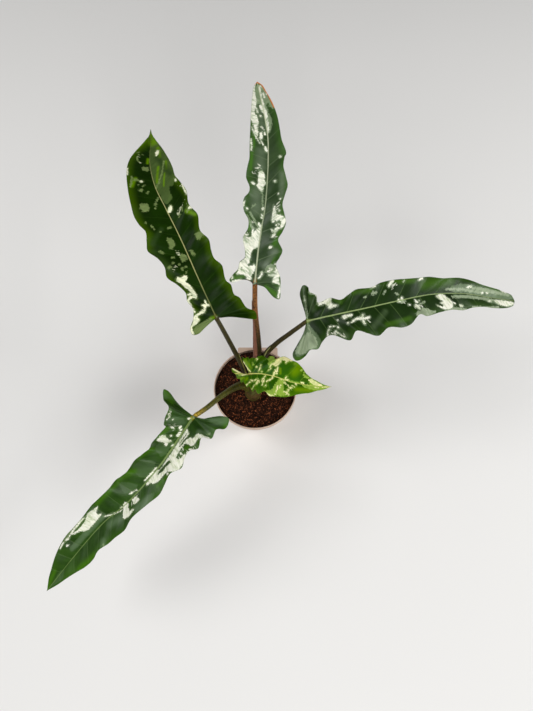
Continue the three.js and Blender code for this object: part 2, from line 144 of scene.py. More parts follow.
class Wiring:
    """Adds nodes to a node tree and joins them."""

    def __init__(self, tree: Tree) -> None:
        """Keeps the tree that the nodes go into."""
        self.tree = tree

    def node(self, kind: str, inputs: dict | None = None, **settings: object) -> Node:
        """Adds one node.

        Args:
            kind: the node's type name.
            inputs: what each input takes, by name or by number.
            settings: the node's own properties.

        Returns:
            The new node.
        """
        made = self.tree.nodes.new(kind)
        for key, value in settings.items():
            setattr(made, key, value)
        for key, value in (inputs or {}).items():
            self.feed(made.inputs[key], value)
        return made

    def value(self, kind: str, inputs: dict | None = None, output: str | int = 0,
              **settings: object) -> Value:
        """What one output of a new node gives."""
        return Value(self, self.node(kind, inputs, **settings).outputs[output])

    def feed(self, socket: Socket, value: object) -> None:
        """Gives an input another node's value, or a number or colour of its own."""
        if isinstance(value, Value):
            self.tree.links.new(value.socket, socket)
        elif socket.type == "RGBA" and len(value) == 3:
            socket.default_value = (*value, 1.0)
        else:
            socket.default_value = value

    def math(self, operation: str, *values: object) -> Value:
        """The result of a Math node."""
        return self.value("ShaderNodeMath", dict(enumerate(values)), operation=operation)

    def mix(self, share: object, first: object, second: object) -> Value:
        """The colour that lies between two by a share."""
        return self.value("ShaderNodeMix", {0: share, 6: first, 7: second}, 2, data_type="RGBA")

    def step(self, value: object, low: object, high: object) -> Value:
        """A soft step from 0 at low to 1 at high."""
        inputs = {"Value": value, "From Min": low, "From Max": high}
        return self.value("ShaderNodeMapRange", inputs, interpolation_type="SMOOTHSTEP")

    def noise(self, vector: object, scale: object, detail: float = 3, rough: float = 0.5) -> Value:
        """The value of a noise texture, with its scale per metre."""
        inputs = {"Vector": vector, "Scale": scale, "Detail": detail, "Roughness": rough}
        return self.value("ShaderNodeTexNoise", inputs)

    def stretch(self, vector: object, scale: Colour) -> Value:
        """A vector with its parts scaled."""
        return self.value("ShaderNodeMapping", {"Vector": vector, "Scale": scale})

    def scaled(self, vector: object, factor: object) -> Value:
        """A vector times a number."""
        return self.value("ShaderNodeVectorMath", {0: vector, 3: factor}, operation="SCALE")

    def split(self, vector: object) -> tuple[Value, ...]:
        """The three parts of a vector."""
        return tuple(Value(self, part) for part in self.node("ShaderNodeSeparateXYZ", {0: vector}).outputs)

    def join(self, *parts: object) -> Value:
        """A vector from its parts."""
        return self.value("ShaderNodeCombineXYZ", dict(enumerate(parts)))

    def radius(self, place: object) -> Value:
        """How far a place is from the Z axis."""
        level = self.value("ShaderNodeVectorMath", {0: place, 1: (1.0, 1.0, 0.0)}, operation="MULTIPLY")
        return self.value("ShaderNodeVectorMath", {0: level}, "Value", operation="LENGTH")

    def stored(self, name: str, output: str = "Fac") -> Value:
        """What a mesh has stored under a name."""
        return self.value("ShaderNodeAttribute", output=output, attribute_name=name)

    def group(self, tree: Tree, inputs: dict) -> tuple[Value, ...]:
        """What a shared shader group gives for its own inputs."""
        made = self.tree.nodes.new("ShaderNodeGroup")
        made.node_tree = tree
        for key, value in inputs.items():
            self.feed(made.inputs[key], value)
        return tuple(Value(self, socket) for socket in made.outputs)


class Paint(Wiring):
    """The wiring of one material and its shader."""

    def __init__(self, name: str) -> None:
        """Makes the material."""
        self.made = bpy.data.materials.new(name)
        self.made.use_nodes = True
        super().__init__(self.made.node_tree)
        self.shader = self.tree.nodes["Principled BSDF"]

    def place(self) -> Value:
        """Where a point is in the plant's frame, in metres."""
        return self.value("ShaderNodeTexCoord", output="Object")

    def give(self, inputs: dict[str, object]) -> None:
        """Gives the shader's inputs their values."""
        for label, value in inputs.items():
            self.feed(self.shader.inputs[label], value)

    def soften(self, weight: float, radius: Colour) -> None:
        """Lets a little light through the surface, with the depth of each colour in millimetres."""
        depth = tuple(part * MM for part in radius)
        self.give({"Subsurface Weight": weight, "Subsurface Radius": depth})

    def bump(self, height: object, strength: float, distance: float) -> None:
        """Gives the shader the normal of a surface with bumps up to a distance in millimetres."""
        inputs = {"Height": height, "Strength": strength, "Distance": distance * MM}
        self.give({"Normal": self.value("ShaderNodeBump", inputs)})

    def layered(self, ground: object, layers: Sequence[tuple[object, object]]) -> Value:
        """A colour with others laid on it, each a share and its colour."""
        for share, colour in layers:
            ground = self.mix(share, ground, colour)
        return ground


def start_group(name: str, kind: str, inputs: dict[str, str], outputs: dict[str, str],
                ) -> tuple[Wiring, dict[str, Value], Node]:
    """Starts a node group with named inputs and outputs.

    Args:
        name: the group's name.
        kind: the tree's type, shader or geometry.
        inputs: the socket type of each input.
        outputs: the socket type of each output.

    Returns:
        The wiring, what the group is given by name, and its output node.
    """
    tree = bpy.data.node_groups.new(name, kind)
    for label, socket in inputs.items():
        tree.interface.new_socket(name=label, in_out="INPUT", socket_type=socket)
    for label, socket in outputs.items():
        tree.interface.new_socket(name=label, in_out="OUTPUT", socket_type=socket)
    wiring = Wiring(tree)
    start = wiring.node("NodeGroupInput")
    given = {label: Value(wiring, start.outputs[label]) for label in inputs}
    return wiring, given, wiring.node("NodeGroupOutput")


FLOAT = "NodeSocketFloat"
VECTOR = "NodeSocketVector"
COLOUR = "NodeSocketColor"
GEOMETRY = "NodeSocketGeometry"
MATERIAL = "NodeSocketMaterial"
INTEGER = "NodeSocketInt"
NOISE_MIDDLE = 0.48


@dataclass(frozen=True)
class Border:
    """How a marking's border looks: its scale, and its wander, fray and softness in millimetres."""

    scale: float
    wander: float
    fray: float
    softness: float


class SharedEffects:
    """The shader groups that more than one finish uses, each built once."""

    def __init__(self) -> None:
        """Builds the groups."""
        self.border_tree = self._border()
        self.grain_tree = self._grain()
        self.fleck_tree = self._flecks()

    @staticmethod
    def _border() -> Tree:
        """A distance into a marking made a mask whose border wanders and frays into streaks."""
        sockets = {"Depth": FLOAT, "Vector": VECTOR, "Streaks": VECTOR, "Scale": FLOAT, "Wander": FLOAT,
                   "Fray": FLOAT, "Softness": FLOAT}
        wiring, given, end = start_group("marking border", "ShaderNodeTree", sockets, {"Mask": FLOAT})
        coarse = wiring.noise(given["Vector"], given["Scale"], 3, 0.55)
        fine = wiring.noise(given["Streaks"], given["Scale"] * 3.4, 3, 0.6)
        wander = (coarse - NOISE_MIDDLE) * given["Wander"]
        fray = (fine - NOISE_MIDDLE) * given["Fray"]
        softness = given["Softness"]
        mask = wiring.step(given["Depth"] + (wander + fray), softness * -1.0, softness)
        wiring.feed(end.inputs["Mask"], mask)
        return wiring.tree

    @staticmethod
    def _grain() -> Tree:
        """A colour that varies between two by noise, and the noise itself."""
        sockets = {"Vector": VECTOR, "Scale": FLOAT, "First": COLOUR, "Second": COLOUR, "Contrast": FLOAT}
        outputs = {"Color": COLOUR, "Value": FLOAT}
        wiring, given, end = start_group("grain", "ShaderNodeTree", sockets, outputs)
        value = wiring.noise(given["Vector"], given["Scale"], 5, 0.6)
        half = given["Contrast"] * 0.5
        share = wiring.step(value, 0.5 - half, half + 0.5)
        wiring.feed(end.inputs["Color"], wiring.mix(share, given["First"], given["Second"]))
        wiring.feed(end.inputs["Value"], share)
        return wiring.tree

    @staticmethod
    def _flecks() -> Tree:
        """Small flecks in loose clusters: a mask from a vector, with the flecks' scale and share."""
        sockets = {"Vector": VECTOR, "Scale": FLOAT, "Share": FLOAT}
        wiring, given, end = start_group("flecks", "ShaderNodeTree", sockets, {"Mask": FLOAT})
        fine = wiring.noise(given["Vector"], given["Scale"], 2, 0.5)
        wide = wiring.step(wiring.noise(given["Vector"], given["Scale"] * 0.16, 1, 0.5), 0.42, 0.62)
        limit = 0.78 - given["Share"] * wide
        wiring.feed(end.inputs["Mask"], wiring.step(fine, limit, limit + 0.035))
        return wiring.tree

    def grain(self, paint: Paint, vector: Value, scale: float, first: Colour, second: Colour,
              contrast: float) -> tuple[Value, ...]:
        """Gives a material a colour that varies between two by noise, and the noise."""
        return paint.group(self.grain_tree, {"Vector": vector, "Scale": scale, "First": first,
                                             "Second": second, "Contrast": contrast})

    def mask(self, paint: Paint, depth: Value, flat: Value, streaks: Value, border: Border) -> Value:
        """Gives a material the mask of a marking, from the distance into it in millimetres."""
        return paint.group(self.border_tree, {
            "Depth": depth, "Vector": flat, "Streaks": streaks, "Scale": border.scale,
            "Wander": border.wander, "Fray": border.fray, "Softness": border.softness})[0]


@dataclass(frozen=True)
class MouldedPlastic:
    """Satin cream plastic with a faint moulded grain and soil dust on the pot's inside."""

    colour: Colour = shade(206, 182, 162)
    shadow: Colour = shade(186, 158, 136)
    dust: Colour = shade(96, 66, 48)
    roughness: float = 0.38
    foot_radius: float = 43 * MM
    lean: float = 0.1644
    band: float = 87 * MM
    lip_radius: float = 59.1 * MM
    dusty_from: float = 30 * MM
    dusty_at: float = 80 * MM
    cloud_scale: float = 60.0
    smear_scale: float = 240.0
    pit_scale: float = 1800.0

    def material(self, effects: SharedEffects) -> Material:
        """The finish as a material."""
        paint = Paint("pot plastic")
        place = paint.place()
        colour, value = effects.grain(paint, place, self.cloud_scale, self.colour, self.shadow, 0.9)
        height = paint.split(place)[2]
        wall = height * self.lean + self.foot_radius
        in_band = paint.step(height, self.band - 0.5 * MM, self.band + 0.5 * MM)
        outside = paint.math("MAXIMUM", wall, in_band * self.lip_radius)
        inside = paint.step(outside - paint.radius(place), 0.3 * MM, 0.9 * MM)
        above = paint.step(height, self.dusty_from, self.dusty_at)
        smears = paint.step(paint.noise(place, self.smear_scale, 6, 0.7), 0.44, 0.66)
        paint.give({"Base Color": paint.mix(inside * above * smears, colour, self.dust),
                    "Roughness": value * 0.1 + self.roughness})
        paint.bump(paint.noise(place, self.pit_scale, 2, 0.5), 0.12, 0.1)
        paint.soften(0.06, (4, 3, 2))
        return paint.made


@dataclass(frozen=True)
class CocoSoil:
    """Damp coco and peat. Loose pieces vary by their own tint."""

    dark: Colour = shade(14, 7, 4)
    middle: Colour = shade(54, 29, 17)
    bright: Colour = shade(150, 86, 54)
    bright_from: float = 0.76
    dimmed: Colour = (0.55, 0.55, 0.55)
    lifted: Colour = (1.25, 1.2, 1.15)
    bed_scale: float = 420.0
    bed_bumps: float = 900.0
    piece_scale: float = 900.0
    piece_bumps: float = 2200.0
    roughness: float = 0.9
    gloss: float = 0.1

    def bed(self, effects: SharedEffects) -> Material:
        """The finish of the bed under the loose pieces."""
        paint = Paint("soil bed")
        place = paint.place()
        self._damp(paint, effects.grain(paint, place, self.bed_scale, self.dark, self.middle, 0.35)[0])
        paint.bump(paint.noise(place, self.bed_bumps, 8, 0.7), 0.9, 1.2)
        return paint.made

    def pieces(self, effects: SharedEffects) -> Material:
        """The finish of the loose crumbs, chips and fibres, by their stored tint."""
        paint = Paint("soil pieces")
        place = paint.place()
        tint = paint.stored("tint")
        low = paint.mix(paint.step(tint, 0.0, 0.55), self.dark, self.middle)
        body = paint.mix(paint.step(tint, self.bright_from, 1.0), low, self.bright)
        grain = effects.grain(paint, place, self.piece_scale, self.dimmed, self.lifted, 0.5)[0]
        inputs = {0: 1.0, 6: body, 7: grain}
        self._damp(paint, paint.value("ShaderNodeMix", inputs, 2, data_type="RGBA", blend_type="MULTIPLY"))
        paint.bump(paint.noise(place, self.piece_bumps, 4, 0.7), 0.6, 0.4)
        return paint.made

    def _damp(self, paint: Paint, colour: Value) -> None:
        """Gives a material its colour and the soil's dull damp gloss."""
        paint.give({"Base Color": colour, "Roughness": self.roughness, "Specular IOR Level": self.gloss})


@dataclass(frozen=True)
class StalkSkin:
    """Waxy leaf-stalk skin: olive, mottled with brown in short cross streaks."""

    name: str
    ground: Colour
    mottle: Colour
    upper: Colour
    rise: tuple[float, float] = (0.5, 0.9)
    roughness: float = 0.38
    gloss: float = 0.22
    girth: float = 4 * MM
    blotch_scale: float = 330.0
    streak_scale: float = 420.0

    def material(self) -> Material:
        """The finish as a material, which follows the stored places along and round the stalk."""
        paint = Paint(self.name)
        turn = paint.stored("around") * (2 * math.pi)
        ring_x = paint.math("COSINE", turn) * self.girth
        ring_y = paint.math("SINE", turn) * self.girth
        place = paint.join(ring_x, ring_y, paint.stored("along"))
        flat, long = paint.stretch(place, (1.0, 1.0, 2.2)), paint.stretch(place, (3.0, 3.0, 0.35))
        blotch = paint.step(paint.noise(flat, self.blotch_scale, 3, 0.65), 0.43, 0.6)
        fine = paint.noise(long, self.streak_scale, 4, 0.6)
        colour = paint.layered(self.ground, (
            (paint.step(paint.stored("share"), *self.rise), self.upper),
            (blotch * 0.75, self.mottle),
            (paint.step(fine, 0.5, 0.75) * 0.35, self.upper),
        ))
        paint.give({"Base Color": colour, "Roughness": fine * 0.2 + self.roughness,
                    "Specular IOR Level": self.gloss})
        paint.bump(fine, 0.35, 0.3)
        paint.soften(0.05, (3, 2, 1))
        return paint.made


@dataclass(frozen=True)
class CormSkin:
    """Dull stem skin, olive to brown, with redder scars of old leaves."""

    green: Colour = shade(80, 80, 24)
    brown: Colour = shade(58, 46, 15)
    scar: Colour = shade(104, 62, 44)
    streak_scale: float = 320.0
    crack_scale: float = 900.0
    roughness: float = 0.62
    gloss: float = 0.2

    def material(self, effects: SharedEffects) -> Material:
        """The finish as a material, with the scars by their stored mask."""
        paint = Paint("corm skin")
        long = paint.stretch(paint.place(), (1.0, 1.0, 0.3))
        colour = effects.grain(paint, long, self.streak_scale, self.green, self.brown, 0.5)[0]
        paint.give({"Base Color": paint.mix(paint.stored("scar"), colour, self.scar),
                    "Roughness": self.roughness, "Specular IOR Level": self.gloss})
        paint.bump(paint.noise(long, self.crack_scale, 5, 0.65), 0.5, 0.5)
        return paint.made


@dataclass(frozen=True)
class SheathSkin:
    """Thin sheath skin with long fibres, with its own colours at its far end and its last edge."""

    name: str
    body: Colour
    vein: Colour
    end: Colour
    edge: Colour
    edge_start: float = 0.8
    edge_width: float = 0.07
    fibre_scale: float = 26.0
    streak_scale: float = 16.0
    roughness: float = 0.6
    gloss: float = 0.25

    def material(self, effects: SharedEffects) -> Material:
        """The finish as a material, which follows the stored places up and across the sheath."""
        paint = Paint(self.name)
        up = paint.stored("share")
        across = paint.stored("around")
        place = paint.join(across, up * 0.6)
        fibres = paint.noise(place, self.fibre_scale, 4, 0.6)
        ground = effects.grain(paint, place, self.streak_scale, self.body, self.vein, 0.4)[0]
        colour = paint.layered(ground, (
            (paint.step(up, 0.6, 1.0), self.end),
            (paint.step(across, self.edge_start, self.edge_start + self.edge_width), self.edge),
        ))
        paint.give({"Base Color": colour, "Roughness": self.roughness, "Specular IOR Level": self.gloss})
        paint.soften(0.1, (4, 2, 1))
        paint.bump(fibres, 0.5, 0.3)
        return paint.made


CREAM_BORDER = Border(360.0, 3.0, 3.4, 0.18)
HALO_BORDER = Border(200.0, 4.0, 4.0, 0.9)
PALE_BORDER = Border(380.0, 5.0, 5.5, 0.4)
SECTOR_AND_SHEEN_BORDER = Border(120.0, 5.0, 4.0, 0.8)
UNDERSIDE_BORDER = Border(190.0, 4.5, 2.8, 0.6)


# How far a blade's noise is drawn out along its veins
STREAKED = (1.0, 0.3, 1.0)
DRAWN_OUT = (1.0, 0.5, 1.0)


@dataclass(frozen=True)
class LeafPalette:
    """The colours of one blade, and how strongly its lines and its edge show."""

    dark: Colour
    middle: Colour
    lime: Colour
    pale: Colour
    sector: Colour
    bloom: Colour
    vein: Colour
    rib: Colour
    joint: Colour
    cream: Colour = shade(240, 240, 222)
    veil: Colour = shade(188, 198, 162)
    dry: Colour = shade(122, 74, 34)
    margin_glow: float = 0.35
    glow_reach: float = 13 * MM
    halo_reach: float = 1.2
    ground_scale: float = 45.0
    haze_scale: float = 150.0
    cloud_scale: float = 330.0
    fleck_scale: float = 620.0
    milk_scale: float = 260.0
    satin_scale: float = 240.0
    under_scale: float = 40.0
    fleck_share: float = 0.03
    vein_share: float = 0.45
    rib_share: float = 0.9
    gloss: float = 0.28
    roughness: float = 0.31
    under_roughness: float = 0.46

    def upper(self, name: str, effects: SharedEffects) -> Material:
        """The finish of the blade's upper face.

        Args:
            name: the blade's name.
            effects: the shared shader groups.

        Returns:
            The material.
        """
        paint = Paint(f"upper face {name}")
        flat, lay = paint.stored("flat", "Vector"), paint.stored("lay", "Vector")
        cream_depth, pale_depth, sector_and_sheen_depth = paint.split(paint.stored("marks", "Vector"))
        vein, rib, edge = paint.split(paint.stored("lines", "Vector"))
        # The third part of this attribute is the strength of the painted sheen
        dry, spray, bloom = paint.split(paint.stored("spots", "Vector"))
        lime, rib_glow, joint = paint.split(paint.stored("glow", "Vector"))
        streaks = paint.stretch(lay, STREAKED)
        cream = effects.mask(paint, cream_depth, flat, streaks, CREAM_BORDER)
        halo = effects.mask(paint, cream_depth + self.halo_reach, flat, streaks, HALO_BORDER)
        pale = effects.mask(paint, pale_depth, flat, streaks, PALE_BORDER)
        sector = effects.mask(paint, sector_and_sheen_depth, flat, streaks, SECTOR_AND_SHEEN_BORDER)
        wide = paint.stretch(lay, DRAWN_OUT)
        ground = effects.grain(paint, wide, self.ground_scale, self.dark, self.middle, 0.6)[0]
        hazy = paint.noise(streaks, self.haze_scale, 3, 0.5) * 0.9 + 0.3
        cloud = paint.noise(streaks, self.cloud_scale, 3, 0.6) * 0.9 + 0.3
        inputs = {"Vector": streaks, "Scale": self.fleck_scale, "Share": spray * 0.34 + self.fleck_share}
        flecks = paint.group(effects.fleck_tree, inputs)[0]
        milky = paint.step(paint.noise(streaks, self.milk_scale, 3, 0.6), 0.42, 0.68)
        colour = paint.layered(ground, (
            (paint.step(edge, self.glow_reach, 0.0) * self.margin_glow, self.lime),
            # Paler sectors: real on the back left blade, painted sheen on the right and front left blades
            (sector * hazy, self.sector),
            (paint.step(lime, 0.0, 1.0) * 0.8, self.lime),
            # Painted sheen: a pale haze laid on as colour where light would be reflected
            (paint.step(bloom, 0.0, 1.0) * hazy, self.bloom),
            (halo * 0.4, self.pale),
            # Pale markings; on the right blade some of them are painted highlights and sheen
            (pale * cloud, self.pale),
            (flecks * 0.85, paint.mix(spray * 0.7, self.pale, self.cream)),
            (paint.step(vein, 1.0, 0.3) * self.vein_share, self.vein),
            (cream, paint.mix(milky, self.cream, self.veil)),
            (paint.step(rib, 2.4, 1.3) * joint, self.joint),
            (paint.step(rib, 1.1, 0.75) * self.rib_share, paint.mix(rib_glow, self.vein, self.rib)),
            (paint.step(edge, 0.6 * MM, 0.2 * MM) * 0.5, self.vein),
            (paint.step(dry, 0.3, 0.6), self.dry),
        ))
        satin = paint.noise(streaks, self.satin_scale, 3, 0.6)
        paint.give({"Base Color": colour, "Roughness": satin * 0.16 + (self.roughness - 0.08),
                    "Specular IOR Level": self.gloss})
        self._relief(paint, lay, vein, 0.5)
        paint.soften(0.04, (2, 3, 1))
        return paint.made

    def under(self, name: str, effects: SharedEffects, ground: Colour, tint: Colour) -> Material:
        """The finish of the blade's underside.

        Args:
            name: the blade's name.
            effects: the shared shader groups.
            ground: the colour between the veins.
            tint: the colour of the pale markings, as they show on this face.

        Returns:
            The material.
        """
        paint = Paint(f"underside {name}")
        flat, lay = paint.stored("flat", "Vector"), paint.stored("lay", "Vector")
        cream_depth = paint.split(paint.stored("marks", "Vector"))[0]
        vein, rib, _ = paint.split(paint.stored("lines", "Vector"))
        streaks = paint.stretch(lay, STREAKED)
        cream = effects.mask(paint, cream_depth, flat, streaks, UNDERSIDE_BORDER)
        deep = tuple(0.6 * part for part in ground)
        grained = effects.grain(paint, lay, self.under_scale, deep, ground, 0.6)[0]
        body = paint.layered(grained, (
            (cream * 0.8, tint),
            (paint.step(vein, 1.6, 0.5) * 0.5, self.middle),
            (paint.step(rib, 1.9, 1.0), self.pale),
        ))
        paint.give({"Base Color": body, "Roughness": self.under_roughness})
        self._relief(paint, lay, vein, 0.35)
        return paint.made

    @staticmethod
    def _relief(paint: Paint, lay: Value, vein: Value, strength: float) -> None:
        """Gives a material sunken veins and a fine net between them."""
        inputs = {"Vector": paint.stretch(lay, (1.0, 0.7, 1.0)), "Scale": 520.0}
        net = paint.value("ShaderNodeTexVoronoi", inputs, "Distance", feature="DISTANCE_TO_EDGE")
        height = paint.step(net, 0.0, 0.16) * 0.22 + paint.step(vein, 0.2, 1.8)
        paint.bump(height, strength, 0.25)


@dataclass(frozen=True)
class LeafPlan:
    """One leaf: its stalk, its rib, its two outlines and its markings.

    Outlines are places [along the rib, out from it] from the stalk round the lobe to the tip. A mark
    is a reach and then places on the flat blade, with the left side positive. With a reach of 0, the
    places are the corners of a patch.
    """

    name: str
    stalk: Points
    stalk_radii: tuple[float, ...]
    rib: Points
    left: Outline
    right: Outline
    marks: dict[Tone, tuple[Mark, ...]]
    palette: LeafPalette
    skin: StalkSkin
    rolls: tuple[float, ...] = (0, 0, 0)
    fold: float = 12
    rib_reach: tuple[float, float] = (1.5, 0.5)
    rib_glow: tuple[float, ...] = (1,)
    wave_gain: float = 1.4


def spread(values: Sequence[float], places: np.ndarray) -> np.ndarray:
    """Values that stand at even steps from 0 to 1, read at places between them."""
    return np.interp(places, np.linspace(0, 1, len(values)), values)


class Spline:
    """A smooth line through points, at even steps of its own count."""

    def __init__(self, points: Sequence[Sequence[float]], extended: bool) -> None:
        """Keeps the points with a spare one at each end.

        Args:
            points: the points in two or three dimensions.
            extended: whether the spare points go on in line, or repeat the end points.
        """
        body = np.array(points, float)
        if extended:
            ends = 2 * body[0] - body[1], 2 * body[-1] - body[-2]
        else:
            ends = body[0], body[-1]
        self.points = np.vstack([ends[0], body, ends[1]])
        self.spans = len(body) - 1

    def at(self, places: np.ndarray) -> np.ndarray:
        """Points on the line, with place 0 at the first point and 1 more at each next one."""
        index = np.clip(np.floor(places), 0, self.spans - 1).astype(int)
        t = (places - index)[..., None]
        a, b, c, d = (self.points[index + k] for k in range(4))
        start, end = (c - a) / 2, (d - b) / 2
        cube, square = 2 * b - 2 * c + start + end, 3 * c - 3 * b - 2 * start - end
        return cube * t**3 + square * t**2 + start * t + b


class Path:
    """A smooth path in space, by distance along it in millimetres."""

    def __init__(self, points: Points) -> None:
        """Samples the path closely."""
        spline = Spline(points, extended=True)
        self.samples = spline.at(np.linspace(0, spline.spans, spline.spans * 60 + 1))
        steps = np.linalg.norm(np.diff(self.samples, axis=0), axis=1)
        self.places = np.concatenate([[0], np.cumsum(steps)])
        self.length = float(self.places[-1])
        self.slopes = np.gradient(self.samples, self.places, axis=0)

    def _read(self, table: np.ndarray, distance: np.ndarray) -> np.ndarray:
        """Values of a table of samples at distances."""
        return np.stack([np.interp(distance, self.places, table[:, k]) for k in range(3)], axis=-1)

    def frames(self, distance: np.ndarray, rolls: Sequence[float] = (0, 0),
               ) -> tuple[np.ndarray, np.ndarray, np.ndarray]:
        """Where the path is, and which ways are up and left there.

        Args:
            distance: distances along the path. Those outside it go on in line.
            rolls: turns about the path in degrees, at even steps along it.

        Returns:
            The points, the ways up and the ways left.
        """
        distance = np.asarray(distance, float)
        inside = np.clip(distance, 0, self.length)
        forward = self._read(self.slopes, inside)
        forward /= np.linalg.norm(forward, axis=-1, keepdims=True)
        point = self._read(self.samples, inside) + forward * (distance - inside)[..., None]
        level = np.cross(np.array([0.0, 0.0, 1.0]), forward)
        level /= np.linalg.norm(level, axis=-1, keepdims=True)
        upright = np.cross(forward, level)
        turn = np.radians(spread(rolls, inside / self.length))[..., None]
        up = upright * np.cos(turn) + level * np.sin(turn)
        return point, up, np.cross(up, forward)


def mesh_object(name: str, vertices: np.ndarray, faces: list, materials: Sequence[Material] = (),
                slots: Sequence[int] | None = None, attributes: dict[str, np.ndarray] | None = None,
                edges: Sequence[tuple[int, int]] = ()) -> Piece:
    """A smooth mesh object at the origin.

    Args:
        name: the object's name.
        vertices: places in millimetres.
        faces: lists of vertex numbers.
        materials: the object's materials.
        slots: the material number of each face.
        attributes: a value or a vector for each vertex, by name.
        edges: loose edges, for a wire.

    Returns:
        The object, linked to the scene.
    """
    mesh = bpy.data.meshes.new(name)
    mesh.from_pydata((np.asarray(vertices) * MM).tolist(), list(edges), faces)
    for material in materials:
        mesh.materials.append(material)
    if slots is not None:
        mesh.polygons.foreach_set("material_index", slots)
    for label, values in (attributes or {}).items():
        values = np.asarray(values, np.float32)
        kind = "FLOAT" if values.ndim == 1 else "FLOAT_VECTOR"
        stored = mesh.attributes.new(label, kind, "POINT")
        stored.data.foreach_set("value" if values.ndim == 1 else "vector", values.ravel())
    mesh.polygons.foreach_set("use_smooth", [True] * len(mesh.polygons))
    mesh.update()
    made = bpy.data.objects.new(name, mesh)
    bpy.context.scene.collection.objects.link(made)
    return made


def baked(source: Piece) -> bpy.types.Mesh:
    """The object's mesh with its modifiers in it."""
    graph = bpy.context.evaluated_depsgraph_get()
    return bpy.data.meshes.new_from_object(source.evaluated_get(graph), depsgraph=graph)


def grow(name: str, source: Piece, tree: Tree, inputs: dict) -> Piece:
    """Runs a geometry node tree on an object and keeps the result as a plain mesh.

    Args:
        name: the new object's name.
        source: the object that the tree reads.
        tree: the geometry node tree.
        inputs: the tree's own values, by name.

    Returns:
        The new object.
    """
    modifier = source.modifiers.new("grow", "NODES")
    modifier.node_group = tree
    sockets = {item.name: item.identifier for item in tree.interface.items_tree if item.in_out == "INPUT"}
    for label, value in inputs.items():
        modifier[sockets[label]] = value
    source.update_tag()
    mesh = baked(source)
    source.modifiers.remove(modifier)
    mesh.name = name
    made = bpy.data.objects.new(name, mesh)
    bpy.context.scene.collection.objects.link(made)
    return made


def drop(made: Piece) -> None:
    """Removes an object that was only a guide."""
    bpy.data.objects.remove(made)


